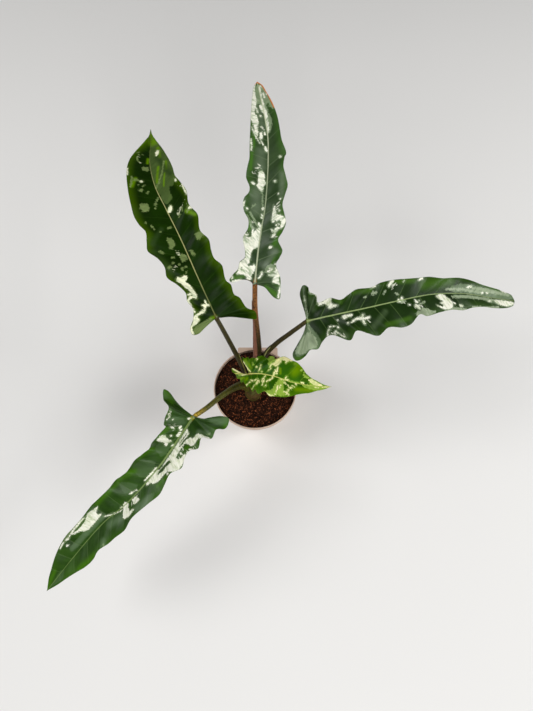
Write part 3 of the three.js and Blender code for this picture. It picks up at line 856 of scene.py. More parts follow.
class GrowthTrees:
    """The geometry node trees, each built once."""

    SCATTER_INPUTS = {"Geometry": GEOMETRY, "Density": FLOAT, "Reach": FLOAT, "Smallest": FLOAT,
                      "Largest": FLOAT, "Seed": INTEGER, "Skin": MATERIAL}
    LEAST_UPWARD = 0.4
    WIDTH_SHARES = ((1.0, 0.75, 0.5), (1.0, 0.85, 0.75))
    SIZE_SEED = 7.0
    TINT_SEED = 13.0
    FIBRE_RADIUS = 0.22 * MM

    def __init__(self) -> None:
        """Builds the trees."""
        self.sweep = self._sweep()
        self.crumbs = self._crumbs("crumbs", (1.0, 1.0, 1.0), 1.0)
        self.chips = self._crumbs("chips", (1.3, 0.55, 0.5), 0.08)
        self.fibres = self._fibres()

    @staticmethod
    def _start(name: str, inputs: dict[str, str]) -> tuple[Wiring, dict[str, Value], Node]:
        """Starts a tree that gives one geometry."""
        return start_group(name, "GeometryNodeTree", inputs, {"Geometry": GEOMETRY})

    @classmethod
    def _sweep(cls) -> Tree:
        """A round bar along a wire, with the radius stored on the wire's points."""
        sockets = {"Geometry": GEOMETRY, "Sides": INTEGER, "Skin": MATERIAL}
        wiring, given, end = cls._start("bar along a wire", sockets)
        curve = wiring.value("GeometryNodeMeshToCurve", {"Mesh": given["Geometry"]})
        radius = wiring.value("GeometryNodeInputNamedAttribute", {"Name": "radius"}, data_type="FLOAT")
        curve = wiring.value("GeometryNodeSetCurveRadius", {"Curve": curve, "Radius": radius})
        inputs = {"Resolution": given["Sides"], "Radius": 1.0}
        ring = wiring.value("GeometryNodeCurvePrimitiveCircle", inputs)
        marked = wiring.value("GeometryNodeStoreNamedAttribute", {
            "Geometry": ring, "Name": "around", "Value": wiring.value("GeometryNodeSplineParameter")},
            data_type="FLOAT", domain="POINT")
        inputs = {"Curve": curve, "Profile Curve": marked, "Scale": radius, "Fill Caps": True}
        cls._finish(wiring, wiring.value("GeometryNodeCurveToMesh", inputs), given, end)
        return wiring.tree

    @staticmethod
    def _finish(wiring: Wiring, geometry: Value, given: dict[str, Value], end: Node) -> None:
        """Ends a tree in smooth real geometry with its material."""
        real = wiring.value("GeometryNodeRealizeInstances", {0: geometry})
        smooth = wiring.value("GeometryNodeSetShadeSmooth", {0: real})
        inputs = {"Geometry": smooth, "Material": given["Skin"]}
        wiring.feed(end.inputs["Geometry"], wiring.value("GeometryNodeSetMaterial", inputs))

    @classmethod
    def _scatter(cls, wiring: Wiring, given: dict[str, Value], piece: Value, flat: float) -> Value:
        """Copies of a piece on the bed's top, turned and scaled at random, each with a tint.

        Args:
            wiring: the tree's wiring.
            given: what the tree is given.
            piece: the piece.
            flat: 1 for pieces that lie at any angle, near 0 for ones that lie flat.

        Returns:
            The copies.
        """
        seed = given["Seed"]
        reach = wiring.radius(wiring.value("GeometryNodeInputPosition"))
        inside = wiring.value("FunctionNodeCompare", {"A": reach, "B": given["Reach"]},
                              data_type="FLOAT", operation="LESS_THAN")
        facing = wiring.split(wiring.value("GeometryNodeInputNormal"))[2]
        upward = wiring.value("FunctionNodeCompare", {"A": facing, "B": cls.LEAST_UPWARD},
                              data_type="FLOAT", operation="GREATER_THAN")
        chosen = wiring.value("FunctionNodeBooleanMath", {0: inside, 1: upward}, operation="AND")
        points = wiring.value("GeometryNodeDistributePointsOnFaces", {
            "Mesh": given["Geometry"], "Selection": chosen, "Density": given["Density"], "Seed": seed})
        circle = 2 * math.pi
        turn = wiring.value("FunctionNodeRandomValue", {
            "Max": (circle * flat, circle * flat, circle), "Seed": seed}, data_type="FLOAT_VECTOR")
        low, high = (wiring.scaled(shares, given[label])
                     for shares, label in zip(cls.WIDTH_SHARES, ("Smallest", "Largest")))
        size = wiring.value("FunctionNodeRandomValue", {
            "Min": low, "Max": high, "Seed": seed + cls.SIZE_SEED}, data_type="FLOAT_VECTOR")
        copies = wiring.value("GeometryNodeInstanceOnPoints", {
            "Points": points, "Instance": piece, "Rotation": turn, "Scale": size})
        tint = wiring.value("FunctionNodeRandomValue", {"Seed": seed + cls.TINT_SEED}, 1, data_type="FLOAT")
        return wiring.value("GeometryNodeStoreNamedAttribute", {
            "Geometry": copies, "Name": "tint", "Value": tint}, data_type="FLOAT", domain="INSTANCE")

    @staticmethod
    def _shaken(wiring: Wiring, copies: Value, scale: float, detail: float, reach: float) -> Value:
        """Real geometry with its points moved by noise, up to a reach in millimetres."""
        real = wiring.value("GeometryNodeRealizeInstances", {0: copies})
        bumps = wiring.value("ShaderNodeTexNoise", {"Scale": scale, "Detail": detail}, "Color")
        centred = wiring.value("ShaderNodeVectorMath", {0: bumps, 1: (0.5, 0.5, 0.5)}, operation="SUBTRACT")
        offset = wiring.scaled(centred, reach * MM)
        return wiring.value("GeometryNodeSetPosition", {"Geometry": real, "Offset": offset})

    @classmethod
    def _crumbs(cls, name: str, form: Colour, flat: float) -> Tree:
        """Lumpy pieces over the bed.

        Args:
            name: the tree's name.
            form: how far each piece is drawn out along its own axes.
            flat: 1 for pieces that lie at any angle, near 0 for ones that lie flat.

        Returns:
            The tree.
        """
        wiring, given, end = cls._start(name, cls.SCATTER_INPUTS)
        ball = wiring.value("GeometryNodeMeshIcoSphere", {"Radius": 1.0, "Subdivisions": 1})
        piece = wiring.value("GeometryNodeTransform", {"Geometry": ball, "Scale": form})
        copies = cls._scatter(wiring, given, piece, flat)
        cls._finish(wiring, cls._shaken(wiring, copies, 620.0, 2.0, 2.2), given, end)
        return wiring.tree

    @classmethod
    def _fibres(cls) -> Tree:
        """Thin bent coco fibres over the bed."""
        wiring, given, end = cls._start("fibres", cls.SCATTER_INPUTS)
        line = wiring.value("GeometryNodeCurveQuadraticBezier", {
            "Resolution": 6, "Start": (-1.0, 0.0, 0.0), "Middle": (0.1, 0.7, 0.35), "End": (1.0, 0.0, 0.1)})
        copies = cls._scatter(wiring, given, line, 0.06)
        bent = cls._shaken(wiring, copies, 180.0, 1.0, 3.0)
        thin = wiring.value("GeometryNodeSetCurveRadius", {"Curve": bent, "Radius": 1.0})
        inputs = {"Resolution": 4, "Radius": cls.FIBRE_RADIUS}
        ring = wiring.value("GeometryNodeCurvePrimitiveCircle", inputs)
        bar = wiring.value("GeometryNodeCurveToMesh", {"Curve": thin, "Profile Curve": ring})
        cls._finish(wiring, bar, given, end)
        return wiring.tree


def settle(made: Piece, node: str = "") -> None:
    """Puts a piece on the plant's body, in place of a CAD node if one is named."""
    if node:
        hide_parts(node)
    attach(made, BODY)
    log.info("%s: %d faces", made.name, len(made.data.polygons))


def grid_faces(rows: int, across: int, closed: bool) -> list[list[int]]:
    """Quads between the rows of a grid of vertices that are numbered row by row.

    Args:
        rows: how many rows of vertices there are.
        across: how many vertices a row has.
        closed: whether each row joins its own start.

    Returns:
        The quads.
    """
    quads = []
    for low in range(0, (rows - 1) * across, across):
        for k in range(across if closed else across - 1):
            after = (k + 1) % across
            quads.append([low + k, low + after, low + across + after, low + across + k])
    return quads


def far_side(faces: list[list[int]], loop: list[int], total: int) -> tuple[list, list]:
    """The second face of a thin sheet, and the rim between the two.

    Args:
        faces: the first face's polygons.
        loop: the vertices round its edge.
        total: how many vertices the first face has.

    Returns:
        The second face's polygons and the rim's.
    """
    lower = [[v + total for v in face][::-1] for face in faces]
    rim = [[a + total, b + total, b, a] for a, b in zip(loop, loop[1:] + loop[:1])]
    return lower, rim


def mean_normals(points: np.ndarray, faces: list[list[int]]) -> np.ndarray:
    """The mean normal at each point."""
    triangles = np.array([[f[0], f[k], f[k + 1]] for f in faces for k in range(1, len(f) - 1)])
    a, b, c = (points[triangles[:, k]] for k in range(3))
    across = np.cross(b - a, c - a)
    normals = np.zeros_like(points)
    for k in range(3):
        np.add.at(normals, triangles[:, k], across)
    return normals / np.maximum(np.linalg.norm(normals, axis=1, keepdims=True), 1e-12)


def rounded(profile: Sequence[tuple[float, float, float]], steps: int = 5) -> Outline:
    """A profile with round corners.

    Args:
        profile: corners as radius, height and how far the rounding cuts back from the corner.
        steps: points in each rounding, less one.

    Returns:
        Points as radius and height.
    """
    corners = [np.array(corner[:2], float) for corner in profile]
    points: list[tuple[float, float]] = []
    for i, (corner, cut) in enumerate(zip(corners, (c[2] for c in profile))):
        if cut == 0 or i in (0, len(corners) - 1):
            points.append(tuple(corner))
            continue
        before, after = corners[i - 1] - corner, corners[i + 1] - corner
        start = corner + before / np.linalg.norm(before) * cut
        end = corner + after / np.linalg.norm(after) * cut
        for t in np.linspace(0, 1, steps):
            points.append(tuple((1 - t) ** 2 * start + 2 * t * (1 - t) * corner + t**2 * end))
    return tuple(points)


def turned(profile: Outline, sides: int) -> tuple[np.ndarray, list]:
    """Vertices and faces of a profile turned about the Z axis.

    Args:
        profile: points as radius and height, from the bottom of the axis back to its top.
        sides: steps round the axis.

    Returns:
        The vertices and the faces, facing out where the profile runs up its outside.
    """
    angles = 2 * math.pi * np.arange(sides) / sides
    vertices: list = []
    rows: list[list[int]] = []
    for radius, height in profile:
        if radius < 1e-6:
            rows.append([len(vertices)] * sides)
            vertices.append((0.0, 0.0, height))
        else:
            rows.append(list(range(len(vertices), len(vertices) + sides)))
            vertices.extend((radius * math.cos(a), radius * math.sin(a), height) for a in angles)
    faces = []
    for low, high in zip(rows, rows[1:]):
        for k in range(sides):
            corners = [low[k], low[(k + 1) % sides], high[(k + 1) % sides], high[k]]
            face = [v for i, v in enumerate(corners) if v != corners[i - 1]]
            if len(face) > 2:
                faces.append(face)
    return np.array(vertices), faces


@dataclass
class NurseryPot:
    """The moulded pot with its rim, drained floor and label tab."""

    height: float = 95
    rim_radius: float = 60
    rim_band: float = 8
    lip: float = 1.8
    ledge: float = 1.6
    edge: float = 0.8
    base_radius: float = 43
    wall: float = 1.5
    floor: float = 4
    recess: float = 2.5
    centre_disc: float = 18
    foot_ring: float = 34
    bead_low: float = 78
    bead_high: float = 80.3
    bead_depth: float = 0.8
    holes: int = 8
    hole_radius: float = 3.5
    hole_sides: int = 40
    tab_width: float = 59
    tab_middle: float = 3.3
    tab_reach: float = 62.3
    tab_thickness: float = 1.6
    tab_corner: float = 1.6
    tab_drop: float = 0.4
    tab_edge: float = 0.35
    sides: int = 192
    finish: MouldedPlastic = field(default_factory=MouldedPlastic)

    def build(self, effects: SharedEffects) -> None:
        """Makes the pot and its tab."""
        plastic = self.finish.material(effects)
        vertices, faces = turned(self._profile(), self.sides)
        pot = mesh_object("pot_shell", vertices, faces, [plastic])
        self._drain(pot)
        pot.data.set_sharp_from_angle(angle=SHARP_ANGLE)
        settle(pot, "pot")
        settle(self._tab(plastic))

    def _profile(self) -> Outline:
        """The pot's section, from the middle of its underside up the outside and down the inside."""
        soft, tight = 0.5, 0.15
        inner_lip = self.rim_radius - self.lip
        inner_wall = inner_lip - self.ledge - self.edge
        inner_floor = self.base_radius - self.wall - 1
        ledge = self.height - self.rim_band
        slope = (inner_wall + self.wall - self.base_radius) / ledge
        bead = self.base_radius + slope * self.bead_low
        crest = bead + self.bead_depth
        return rounded([
            (0, 0, 0), (self.centre_disc - 1, 0, soft), (self.centre_disc, self.recess, soft),
            (self.foot_ring, self.recess, soft), (self.foot_ring + 1, 0, soft), (self.base_radius, 0, 1.2),
            (bead, self.bead_low, tight), (crest - 0.1, self.bead_low + 0.3, 0.3),
            (crest, self.bead_high - 0.3, 0.3), (bead + 0.2, self.bead_high, tight),
            (inner_wall + self.wall, ledge, soft), (self.rim_radius, ledge, 0.7),
            (self.rim_radius, self.height, 0.85), (inner_lip, self.height, 0.85),
            (inner_lip, ledge + self.edge, soft), (inner_wall, ledge - self.edge, soft),
            (inner_floor, self.floor, 1.5), (0, self.floor, 0),
        ])

    def _drain(self, pot: Piece) -> None:
        """Cuts the ring of drainage holes through the floor."""
        deep = 2 * self.floor
        section = ((0, -deep), (self.hole_radius, -deep), (self.hole_radius, deep), (0, deep))
        drill, drill_faces = turned(section, self.hole_sides)
        ring = (self.centre_disc + self.foot_ring) / 2
        angles = 2 * math.pi * (np.arange(self.holes) + 0.5) / self.holes
        places = [drill + [ring * math.cos(a), ring * math.sin(a), 0] for a in angles]
        faces = [[v + k * len(drill) for v in face] for k in range(self.holes) for face in drill_faces]
        drills = mesh_object("drills", np.vstack(places), faces)
        cut = pot.modifiers.new("holes", "BOOLEAN")
        cut.object = drills
        cut.operation = "DIFFERENCE"
        cut.solver = "EXACT"
        mesh = baked(pot)
        pot.modifiers.remove(cut)
        pot.data = mesh
        drop(drills)

    def _tab(self, plastic: Material) -> Piece:
        """The flat label tab behind the rim."""
        meets = self.rim_radius - 1
        low, high = self.tab_middle - self.tab_width / 2, self.tab_middle + self.tab_width / 2
        near, far = self.tab_reach - self.tab_corner, self.tab_reach
        along = np.linspace(math.acos(low / meets), math.acos(high / meets), 40)
        loop = [(meets * math.cos(a), meets * math.sin(a)) for a in along]
        loop += [(high, near), (high - self.tab_corner, far), (low + self.tab_corner, far), (low, near)]
        top = self.height - self.tab_drop
        count = len(loop)
        vertices = [(x, y, z) for z in (top, top - self.tab_thickness) for x, y in loop]
        faces = [list(range(count))[::-1], list(range(count, 2 * count))]
        faces += [[i, (i + 1) % count, count + (i + 1) % count, count + i] for i in range(count)]
        tab = mesh_object("label_tab", np.array(vertices), faces, [plastic])
        bevel = tab.modifiers.new("edges", "BEVEL")
        bevel.width = self.tab_edge * MM
        bevel.segments = 3
        tab.data.set_sharp_from_angle(angle=SHARP_ANGLE)
        return tab


@dataclass(frozen=True)
class LoosePieces:
    """One kind of loose piece on the soil: how many lie on a square metre, their sizes and seed."""

    name: str
    density: float
    smallest: float
    largest: float
    seed: int


@dataclass
class SoilBed:
    """The soil: a rough bed with loose crumbs, chips and fibres on it."""

    level: float = 88.2
    reach: float = 57.9
    bump: float = 1.3
    lump: float = 0.35
    calm: float = 8
    rings: int = 64
    sides: int = 200
    body: Outline = ((57.9, 87.95), (55.6, 86.0), (48, 46), (40.2, 5.5), (39, 4.1), (20, 4.1))
    crumbs: LoosePieces = LoosePieces("soil_crumbs", 560000.0, 0.6, 1.6, 3)
    chips: LoosePieces = LoosePieces("soil_chips", 110000.0, 1.4, 2.6, 11)
    fibres: LoosePieces = LoosePieces("soil_fibres", 40000.0, 2.0, 6.0, 19)
    finish: CocoSoil = field(default_factory=CocoSoil)

    def build(self, effects: SharedEffects, trees: GrowthTrees) -> None:
        """Makes the bed and scatters the loose pieces over it."""
        bed = self._bed(self.finish.bed(effects))
        skin = self.finish.pieces(effects)
        kinds = (self.crumbs, self.chips, self.fibres)
        for kind, tree in zip(kinds, (trees.crumbs, trees.chips, trees.fibres)):
            made = grow(kind.name, bed, tree, {
                "Density": kind.density, "Reach": (self.reach - 0.6 * kind.largest) * MM,
                "Smallest": kind.smallest * MM, "Largest": kind.largest * MM, "Seed": kind.seed,
                "Skin": skin})
            settle(made)
        settle(bed, "soil")

    def _height(self, x: np.ndarray, y: np.ndarray) -> np.ndarray:
        """The height of the bed, with its bumps and fine lumps, which die away at the pot's wall."""
        coarse = np.sin(x * 0.21 + 1.1) * np.cos(y * 0.19 - 0.4)
        fine = np.sin(x * 0.47 - y * 0.31 + 2.0)
        lumps = np.sin(x * 1.7 + 2.1 * np.sin(y * 0.9)) * np.sin(y * 1.9 + 1.7 * np.sin(x * 1.1))
        fade = np.clip((self.reach - np.hypot(x, y)) / self.calm, 0, 1)
        return self.level + fade * (self.bump * (0.65 * coarse + 0.35 * fine) + self.lump * lumps)

    def _bed(self, skin: Material) -> Piece:
        """The soil's body: its rough top, its side along the pot's wall and its flat bottom."""
        angles = 2 * math.pi * np.arange(self.sides) / self.sides
        vertices: list = [(0.0, 0.0, float(self._height(np.array(0.0), np.array(0.0))))]
        for radius in np.linspace(0, self.reach, self.rings)[1:]:
            x, y = radius * np.cos(angles), radius * np.sin(angles)
            vertices.extend(zip(x.tolist(), y.tolist(), self._height(x, y).tolist()))
        for radius, height in self.body:
            vertices.extend((radius * math.cos(a), radius * math.sin(a), height) for a in angles)
        following = [(k + 1) % self.sides for k in range(self.sides)]
        faces = [[0, 1 + k, 1 + following[k]] for k in range(self.sides)]
        for start in range(1, len(vertices) - self.sides, self.sides):
            after = start + self.sides
            faces += [[start + k, after + k, after + n, start + n] for k, n in enumerate(following)]
        low = len(vertices)
        vertices.append((0.0, 0.0, self.body[-1][1]))
        faces += [[low, low - self.sides + n, low - self.sides + k] for k, n in enumerate(following)]
        return mesh_object("soil_bed", np.array(vertices), faces, [skin])


@dataclass
class Corm:
    """The short stem that the stalks stand on, ringed with the scars of old leaves."""

    centre: tuple[float, float] = (-3, -6.6)
    radius: float = 11.6
    profile: Outline = ((81, 0.95), (91, 1.0), (93.5, 0.97), (96, 0.98), (99, 0.9), (102, 0.9),
                        (105, 0.78), (108, 0.66), (110.4, 0.38), (111, 0.02))
    scars: tuple[float, ...] = (93.9, 98.4, 101.9, 105.9)
    scar_width: float = 0.9
    scar_height: float = 0.45
    sides: int = 96
    rings: int = 90
    finish: CormSkin = field(default_factory=CormSkin)

    def build(self, effects: SharedEffects) -> None:
        """Makes the corm with its scars as raised rings."""
        heights, shares = np.array(self.profile).T
        height = np.linspace(heights[0], heights[-1], self.rings)[:, None]
        angle = 2 * math.pi * np.arange(self.sides) / self.sides
        share = np.interp(height, heights, shares)
        near = np.abs(height - np.array(self.scars)).min(axis=1, keepdims=True)
        ridge = np.maximum(0, 1 - near / self.scar_width)
        wave = 0.25 * np.sin(5 * angle + height * 0.4) + 0.18 * np.sin(11 * angle - height * 0.9)
        radius = share * (self.radius + wave) + self.scar_height * ridge
        x = self.centre[0] + radius * np.cos(angle)
        y = self.centre[1] + radius * np.sin(angle)
        vertices = np.stack(np.broadcast_arrays(x, y, height), axis=-1).reshape(-1, 3)
        beside = np.maximum(0, 1 - np.abs(near - 1.3) / 0.7) * 0.8
        faces = grid_faces(self.rings, self.sides, closed=True)
        faces.append(list(range(self.sides))[::-1])
        faces.append(list(range(len(vertices) - self.sides, len(vertices))))
        corm = mesh_object("corm_stem", vertices, faces, [self.finish.material(effects)],
                           attributes={"scar": np.repeat(beside.ravel(), self.sides)})
        settle(corm, "corm")


@dataclass
class Stalk:
    """A leaf's stalk, one bar from the crown to where it dies away under the rib."""

    plan: LeafPlan
    sides: int = 20
    step: float = 1.6
    collar_back: float = 6
    collar_reaches: tuple[float, ...] = (2.5, 10, 20)
    collar_drops: tuple[float, ...] = (0.9, 0.7, 0.5)
    collar_radii: tuple[float, ...] = (1, 1, 0.95, 0.8, 0.4)

    def build(self, trees: GrowthTrees) -> None:
        """Makes the stalk."""
        places, radii = self._run()
        steps = np.linalg.norm(np.diff(places, axis=0), axis=1)
        along = np.concatenate([[0], np.cumsum(steps)])
        edges = [(i, i + 1) for i in range(len(places) - 1)]
        attributes = {"radius": radii * MM, "along": along * MM, "share": along / along[-1]}
        wire = mesh_object("wire", places, [], attributes=attributes, edges=edges)
        inputs = {"Sides": self.sides, "Skin": self.plan.skin.material()}
        made = grow(f"petiole_{self.plan.name}", wire, trees.sweep, inputs)
        drop(wire)
        settle(made, f"stalk_{self.plan.name}")

    def _run(self) -> tuple[np.ndarray, np.ndarray]:
        """Places along the stalk and its collar, and the radius at each."""
        stalk, rib = Path(self.plan.stalk), Path(self.plan.rib)
        end = stalk.length - self.collar_back
        count = round(end / self.step)
        lower = stalk.frames(np.linspace(0, end, count))[0]
        lower_radii = spread(self.plan.stalk_radii, np.linspace(0, 1, count))
        top = self.plan.stalk_radii[-1]
        point, up, _ = rib.frames(np.array(self.collar_reaches), self.plan.rolls)
        drops = np.array(self.collar_drops) * top
        turn = [stalk.frames(np.array([d]))[0][0] for d in (end, stalk.length - self.collar_back / 2)]
        collar = Path([*turn, *(point - up * drops[:, None])])
        steps = round(collar.length / self.step)
        upper = collar.frames(np.linspace(0, collar.length, steps)[1:])[0]
        upper_radii = top * spread(self.collar_radii, np.linspace(0, 1, steps)[1:])
        return np.vstack([lower, upper]), np.concatenate([lower_radii, upper_radii])


@dataclass
class BladeSide:
    """One side of a blade on the flat: its grid and its veins."""

    places: np.ndarray
    waves: np.ndarray
    lay: np.ndarray
    veins: list[int]


@dataclass
class Sheet:
    """A blade's middle surface: its points in space and on the flat, and how they are joined."""

    points: np.ndarray
    flat: np.ndarray
    lay: np.ndarray
    vein: np.ndarray
    edge: np.ndarray
    ids: list[np.ndarray]
    faces: list[list[int]]


@dataclass
class LeafBlade:
    """A blade: a waved surface on its rib, with veins, a keel and its markings."""

    plan: LeafPlan
    per_span: int = 14
    rows: int = 26
    crowding: float = 1.25
    last_row: float = 0.988
    sinus_spans: int = 3
    sinus_fade: float = 8
    vein_sweep: float = 0.58
    curl: float = 0.003
    half_thickness: float = 0.38
    edge_thickness: float = 0.12
    edge_taper: float = 4
    keel_depth: tuple[float, float] = (2.4, 0.5)
    keel_foot: float = 0.3
    rib_spread: float = 1.1
    crown: float = 0.3
    quilt: float = 0.8
    quilt_shape: float = 0.7
    mean_reach: int = 3
    calm_from: float = 1.5
    calm_over: float = 2
    vein_gap: float = 24
    least_crest: float = 0.3
    groove: float = 0.95
    groove_taper: float = 0.7
    groove_scale: float = 0.87
    vein_sides: int = 6
    vein_radius: float = 0.62
    vein_taper: float = 0.42
    vein_sink: float = 0.45
    rib_edge: float = 20
    side_shift: float = 300
    unmarked: float = -8
    stroke_end: float = 0.8
    stroke_belly: float = 0.3
    corner_cut: float = 0.2
    joint_reach: float = 4.5

    def build(self, effects: SharedEffects, trees: GrowthTrees) -> None:
        """Makes the blade and the raised veins of its underside."""
        name, palette = self.plan.name, self.plan.palette
        rib = Path(self.plan.rib)
        shares = self._shares()
        margins = [self._margin(outline) for outline in (self.plan.left, self.plan.right)]
        feet = self._feet([margin[0] for margin in margins], rib.length)
        sides = [self._side(margin, feet, shares) for margin in margins]
        sheet = self._sheet(rib, feet, shares, sides)
        normals = mean_normals(sheet.points, sheet.faces)
        top, bottom, attributes = self._surface(sheet, normals, rib.length)
        left, right = sheet.ids
        loop = np.concatenate([right[0], right[1:, -1], left[-2::-1, -1], left[0, -2:0:-1]]).tolist()
        lower, rim = far_side(sheet.faces, loop, len(sheet.points))
        slots = [0] * len(sheet.faces) + [1] * len(lower) + [0] * len(rim)
        upper = palette.upper(name, effects)
        under = palette.under(name, effects, UNDERSIDE, UNDERSIDE_MARK)
        doubled = {key: np.concatenate([value, value]) for key, value in attributes.items()}
        blade = mesh_object(f"leaf_{name}", np.concatenate([top, bottom]), [*sheet.faces, *lower, *rim],
                            [upper, under], slots, doubled)
        slot = "young_leaf" if name == "young" else "grown_leaf"
        settle(blade, f"blade_{name}")
        runs = [ids[column, 1:-2:2] for ids, side in zip(sheet.ids, sides) for column in side.veins
                if column < len(feet) - 1]
        wire = self._vein_wire(runs, bottom, normals, attributes)
        veins = grow(f"veins_{name}", wire, trees.sweep, {"Sides": self.vein_sides, "Skin": under})
        drop(wire)
        settle(veins)

    def _shares(self) -> np.ndarray:
        """Shares of the way from the rib to the margin, close near both."""
        even = np.linspace(0, 1, self.rows + 1)[1:]
        return np.concatenate([(even ** self.crowding)[:-1], [self.last_row, 1.0]])

    def _margin(self, outline: Outline) -> tuple[np.ndarray, np.ndarray, Spline]:
        """The margin from the lobe to the tip, how far it stands out of its mean line, and its spline."""
        spline = Spline(outline, extended=False)
        count = self.per_span * (spline.spans - self.sinus_spans)
        places = self.sinus_spans + np.arange(count + 1) / self.per_span
        margin = spline.at(places)
        offsets = np.arange(-self.mean_reach, self.mean_reach + 1) / 2
        around = [np.clip(places + offset, self.sinus_spans, spline.spans) for offset in offsets]
        waves = margin[:, 1] - np.mean([spline.at(near)[:, 1] for near in around], axis=0)
        half = self.per_span / 2
        from_end = np.minimum(np.arange(count + 1), count - np.arange(count + 1)) / half
        return margin, waves * np.clip((from_end - self.calm_from) / self.calm_over, 0, 1), spline

    def _feet(self, margins: Sequence[np.ndarray], length: float) -> np.ndarray:
        """Where on the rib each column starts: the veins sweep forward to the margin."""
        left, right = margins
        middle = (left[:, 0] + right[:, 0]) / 2
        out = (np.maximum(left[:, 1], 0) + np.maximum(right[:, 1], 0)) / 2
        feet = np.maximum.accumulate(np.clip(middle - self.vein_sweep * out, 0, length))
        half = self.per_span // 2
        padded = np.concatenate([np.full(half, feet[0]), feet, np.full(half, length)])
        smooth = np.convolve(padded, np.ones(2 * half + 1) / (2 * half + 1), mode="valid")
        smooth[0] = 0
        smooth[-1] = length
        return np.maximum.accumulate(np.clip(smooth, 0, length))

    def _side(self, parts: tuple[np.ndarray, np.ndarray, Spline], feet: np.ndarray, shares: np.ndarray,
              ) -> BladeSide:
        """The grid of one side, by column along the margin and row out from the rib."""
        margin, waves, spline = parts
        sinus = spline.at(shares * self.sinus_spans)
        t = shares[None, :]
        x = feet[:, None] * (1 - t) + margin[:, 0, None] * t
        y = margin[:, 1, None] * t
        columns = np.arange(len(feet)) / (self.per_span / 2)
        fade = np.clip(1 - columns / self.sinus_fade, 0, 1)[:, None]
        x = x + fade * (sinus[:, 0] - margin[0, 0] * shares)
        y = y + fade * (sinus[:, 1] - margin[0, 1] * shares)
        steps = np.linalg.norm(np.diff(margin, axis=0), axis=1)
        run = np.concatenate([[0], np.cumsum(steps)])
        rays = np.linalg.norm(margin - np.stack([feet, np.zeros_like(feet)], axis=1), axis=1)
        lay = np.stack(np.broadcast_arrays(run[:, None], rays[:, None] * t), axis=-1)
        return BladeSide(np.stack([x, y], axis=-1), waves, lay, self._veins(run, waves))

    def _veins(self, run: np.ndarray, waves: np.ndarray) -> list[int]:
        """The columns that hold a side vein: at the margin's crests, and evenly where it has none."""
        half = self.per_span // 2
        last = len(run) - 1
        crests = [i for i in range(3 * half, last - half)
                  if waves[i] > self.least_crest and waves[i] == waves[i - half:i + half + 1].max()]
        wanted = [half]
        for crest in [*crests, last]:
            if run[crest] - run[wanted[-1]] > self.vein_gap / 3:
                wanted.append(crest)
        if wanted[-1] != last:
            wanted[-1] = last
        columns: list[int] = []
        for start, end in zip(wanted, wanted[1:]):
            columns.append(start)
            spare = round((run[end] - run[start]) / self.vein_gap)
            for k in range(1, spare):
                target = run[start] + (run[end] - run[start]) * k / spare
                columns.append(int(np.argmin(np.abs(run - target))))
        return columns

    def _vein_fields(self, side: BladeSide) -> tuple[np.ndarray, np.ndarray]:
        """How many vein widths each place is from a vein, and how far between two veins it is."""
        columns = np.arange(side.places.shape[0])
        veins = np.array(side.veins)
        after = np.clip(np.searchsorted(veins, columns), 0, len(veins) - 1)
        before = np.clip(after - 1, 0, len(veins) - 1)
        to_after = np.linalg.norm(side.places - side.places[veins[after]], axis=-1)
        to_before = np.linalg.norm(side.places - side.places[veins[before]], axis=-1)
        outside = ((columns < veins[0]) | (columns > veins[-1]))[:, None]
        to_before = np.where(outside, to_after, to_before)
        width = self.groove - self.groove_taper * self._shares()[None, :]
        gap = np.maximum(to_after + to_before, 1e-6)
        phase = np.where(outside, 0.0, to_before / gap)
        return self.groove_scale * np.minimum(to_after, to_before) / width, phase

    def _marks(self, flat: np.ndarray) -> dict[Tone, np.ndarray]:
        """How far each place is inside the cream and pale markings, and the strength of the soft ones."""
        found: dict[Tone, np.ndarray] = {}
        for tone in Tone:
            depth, strength = self._mark_fields(flat, self.plan.marks.get(tone, ()))
            found[tone] = strength if tone in SOFT_TONES else depth
        for tone in (Tone.CREAM, Tone.PALE):
            found[tone] = np.minimum(found[tone], -found[Tone.GREEN])
        return found

    def _mark_fields(self, flat: np.ndarray, marks: Sequence[Mark]) -> tuple[np.ndarray, np.ndarray]:
        """Distance inside some markings, and a strength of 1 on strokes that fades to 0 at their reach.

        Args:
            flat: places on the flat blade in millimetres.
            marks: the markings, each a reach and then its places.

        Returns:
            The distances in millimetres, below 0 outside, and the strengths.
        """
        depth = np.full(len(flat), float(self.unmarked))
        strength = np.zeros(len(flat))
        for reach, *places in marks:
            if not reach:
                depth = np.maximum(depth, self._patch_depth(flat, places))
                continue
            ends = [np.array(place, float) for place in (places if len(places) > 1 else places * 2)]
            count = len(ends) - 1
            for k, (start, end) in enumerate(zip(ends, ends[1:])):
                t, gap = self._gap(flat, start, end)
                belly = self.stroke_end + self.stroke_belly * np.sin(math.pi * (k + t) / count)
                depth = np.maximum(depth, reach * (belly if len(places) > 1 else 1.0) - gap)
                strength = np.maximum(strength, np.clip(1 - gap / reach, 0, 1))
        return depth, strength

    def _patch_depth(self, flat: np.ndarray, corners: Outline) -> np.ndarray:
        """Distance inside a patch with slightly rounded corners, below 0 outside."""
        line = np.array(corners, float)
        near, far = self.corner_cut, 1 - self.corner_cut
        for _ in range(2):
            after = np.roll(line, -1, axis=0)
            line = np.stack([far * line + near * after, near * line + far * after], axis=1).reshape(-1, 2)
        gap = np.full(len(flat), np.inf)
        inside = np.zeros(len(flat), bool)
        for start, end in zip(line, np.roll(line, -1, axis=0)):
            gap = np.minimum(gap, self._gap(flat, start, end)[1])
            crosses = (start[1] > flat[:, 1]) != (end[1] > flat[:, 1])
            slope = (end[0] - start[0]) / (end[1] - start[1] or 1.0)
            inside ^= crosses & (flat[:, 0] < start[0] + (flat[:, 1] - start[1]) * slope)
        return np.where(inside, gap, -gap)

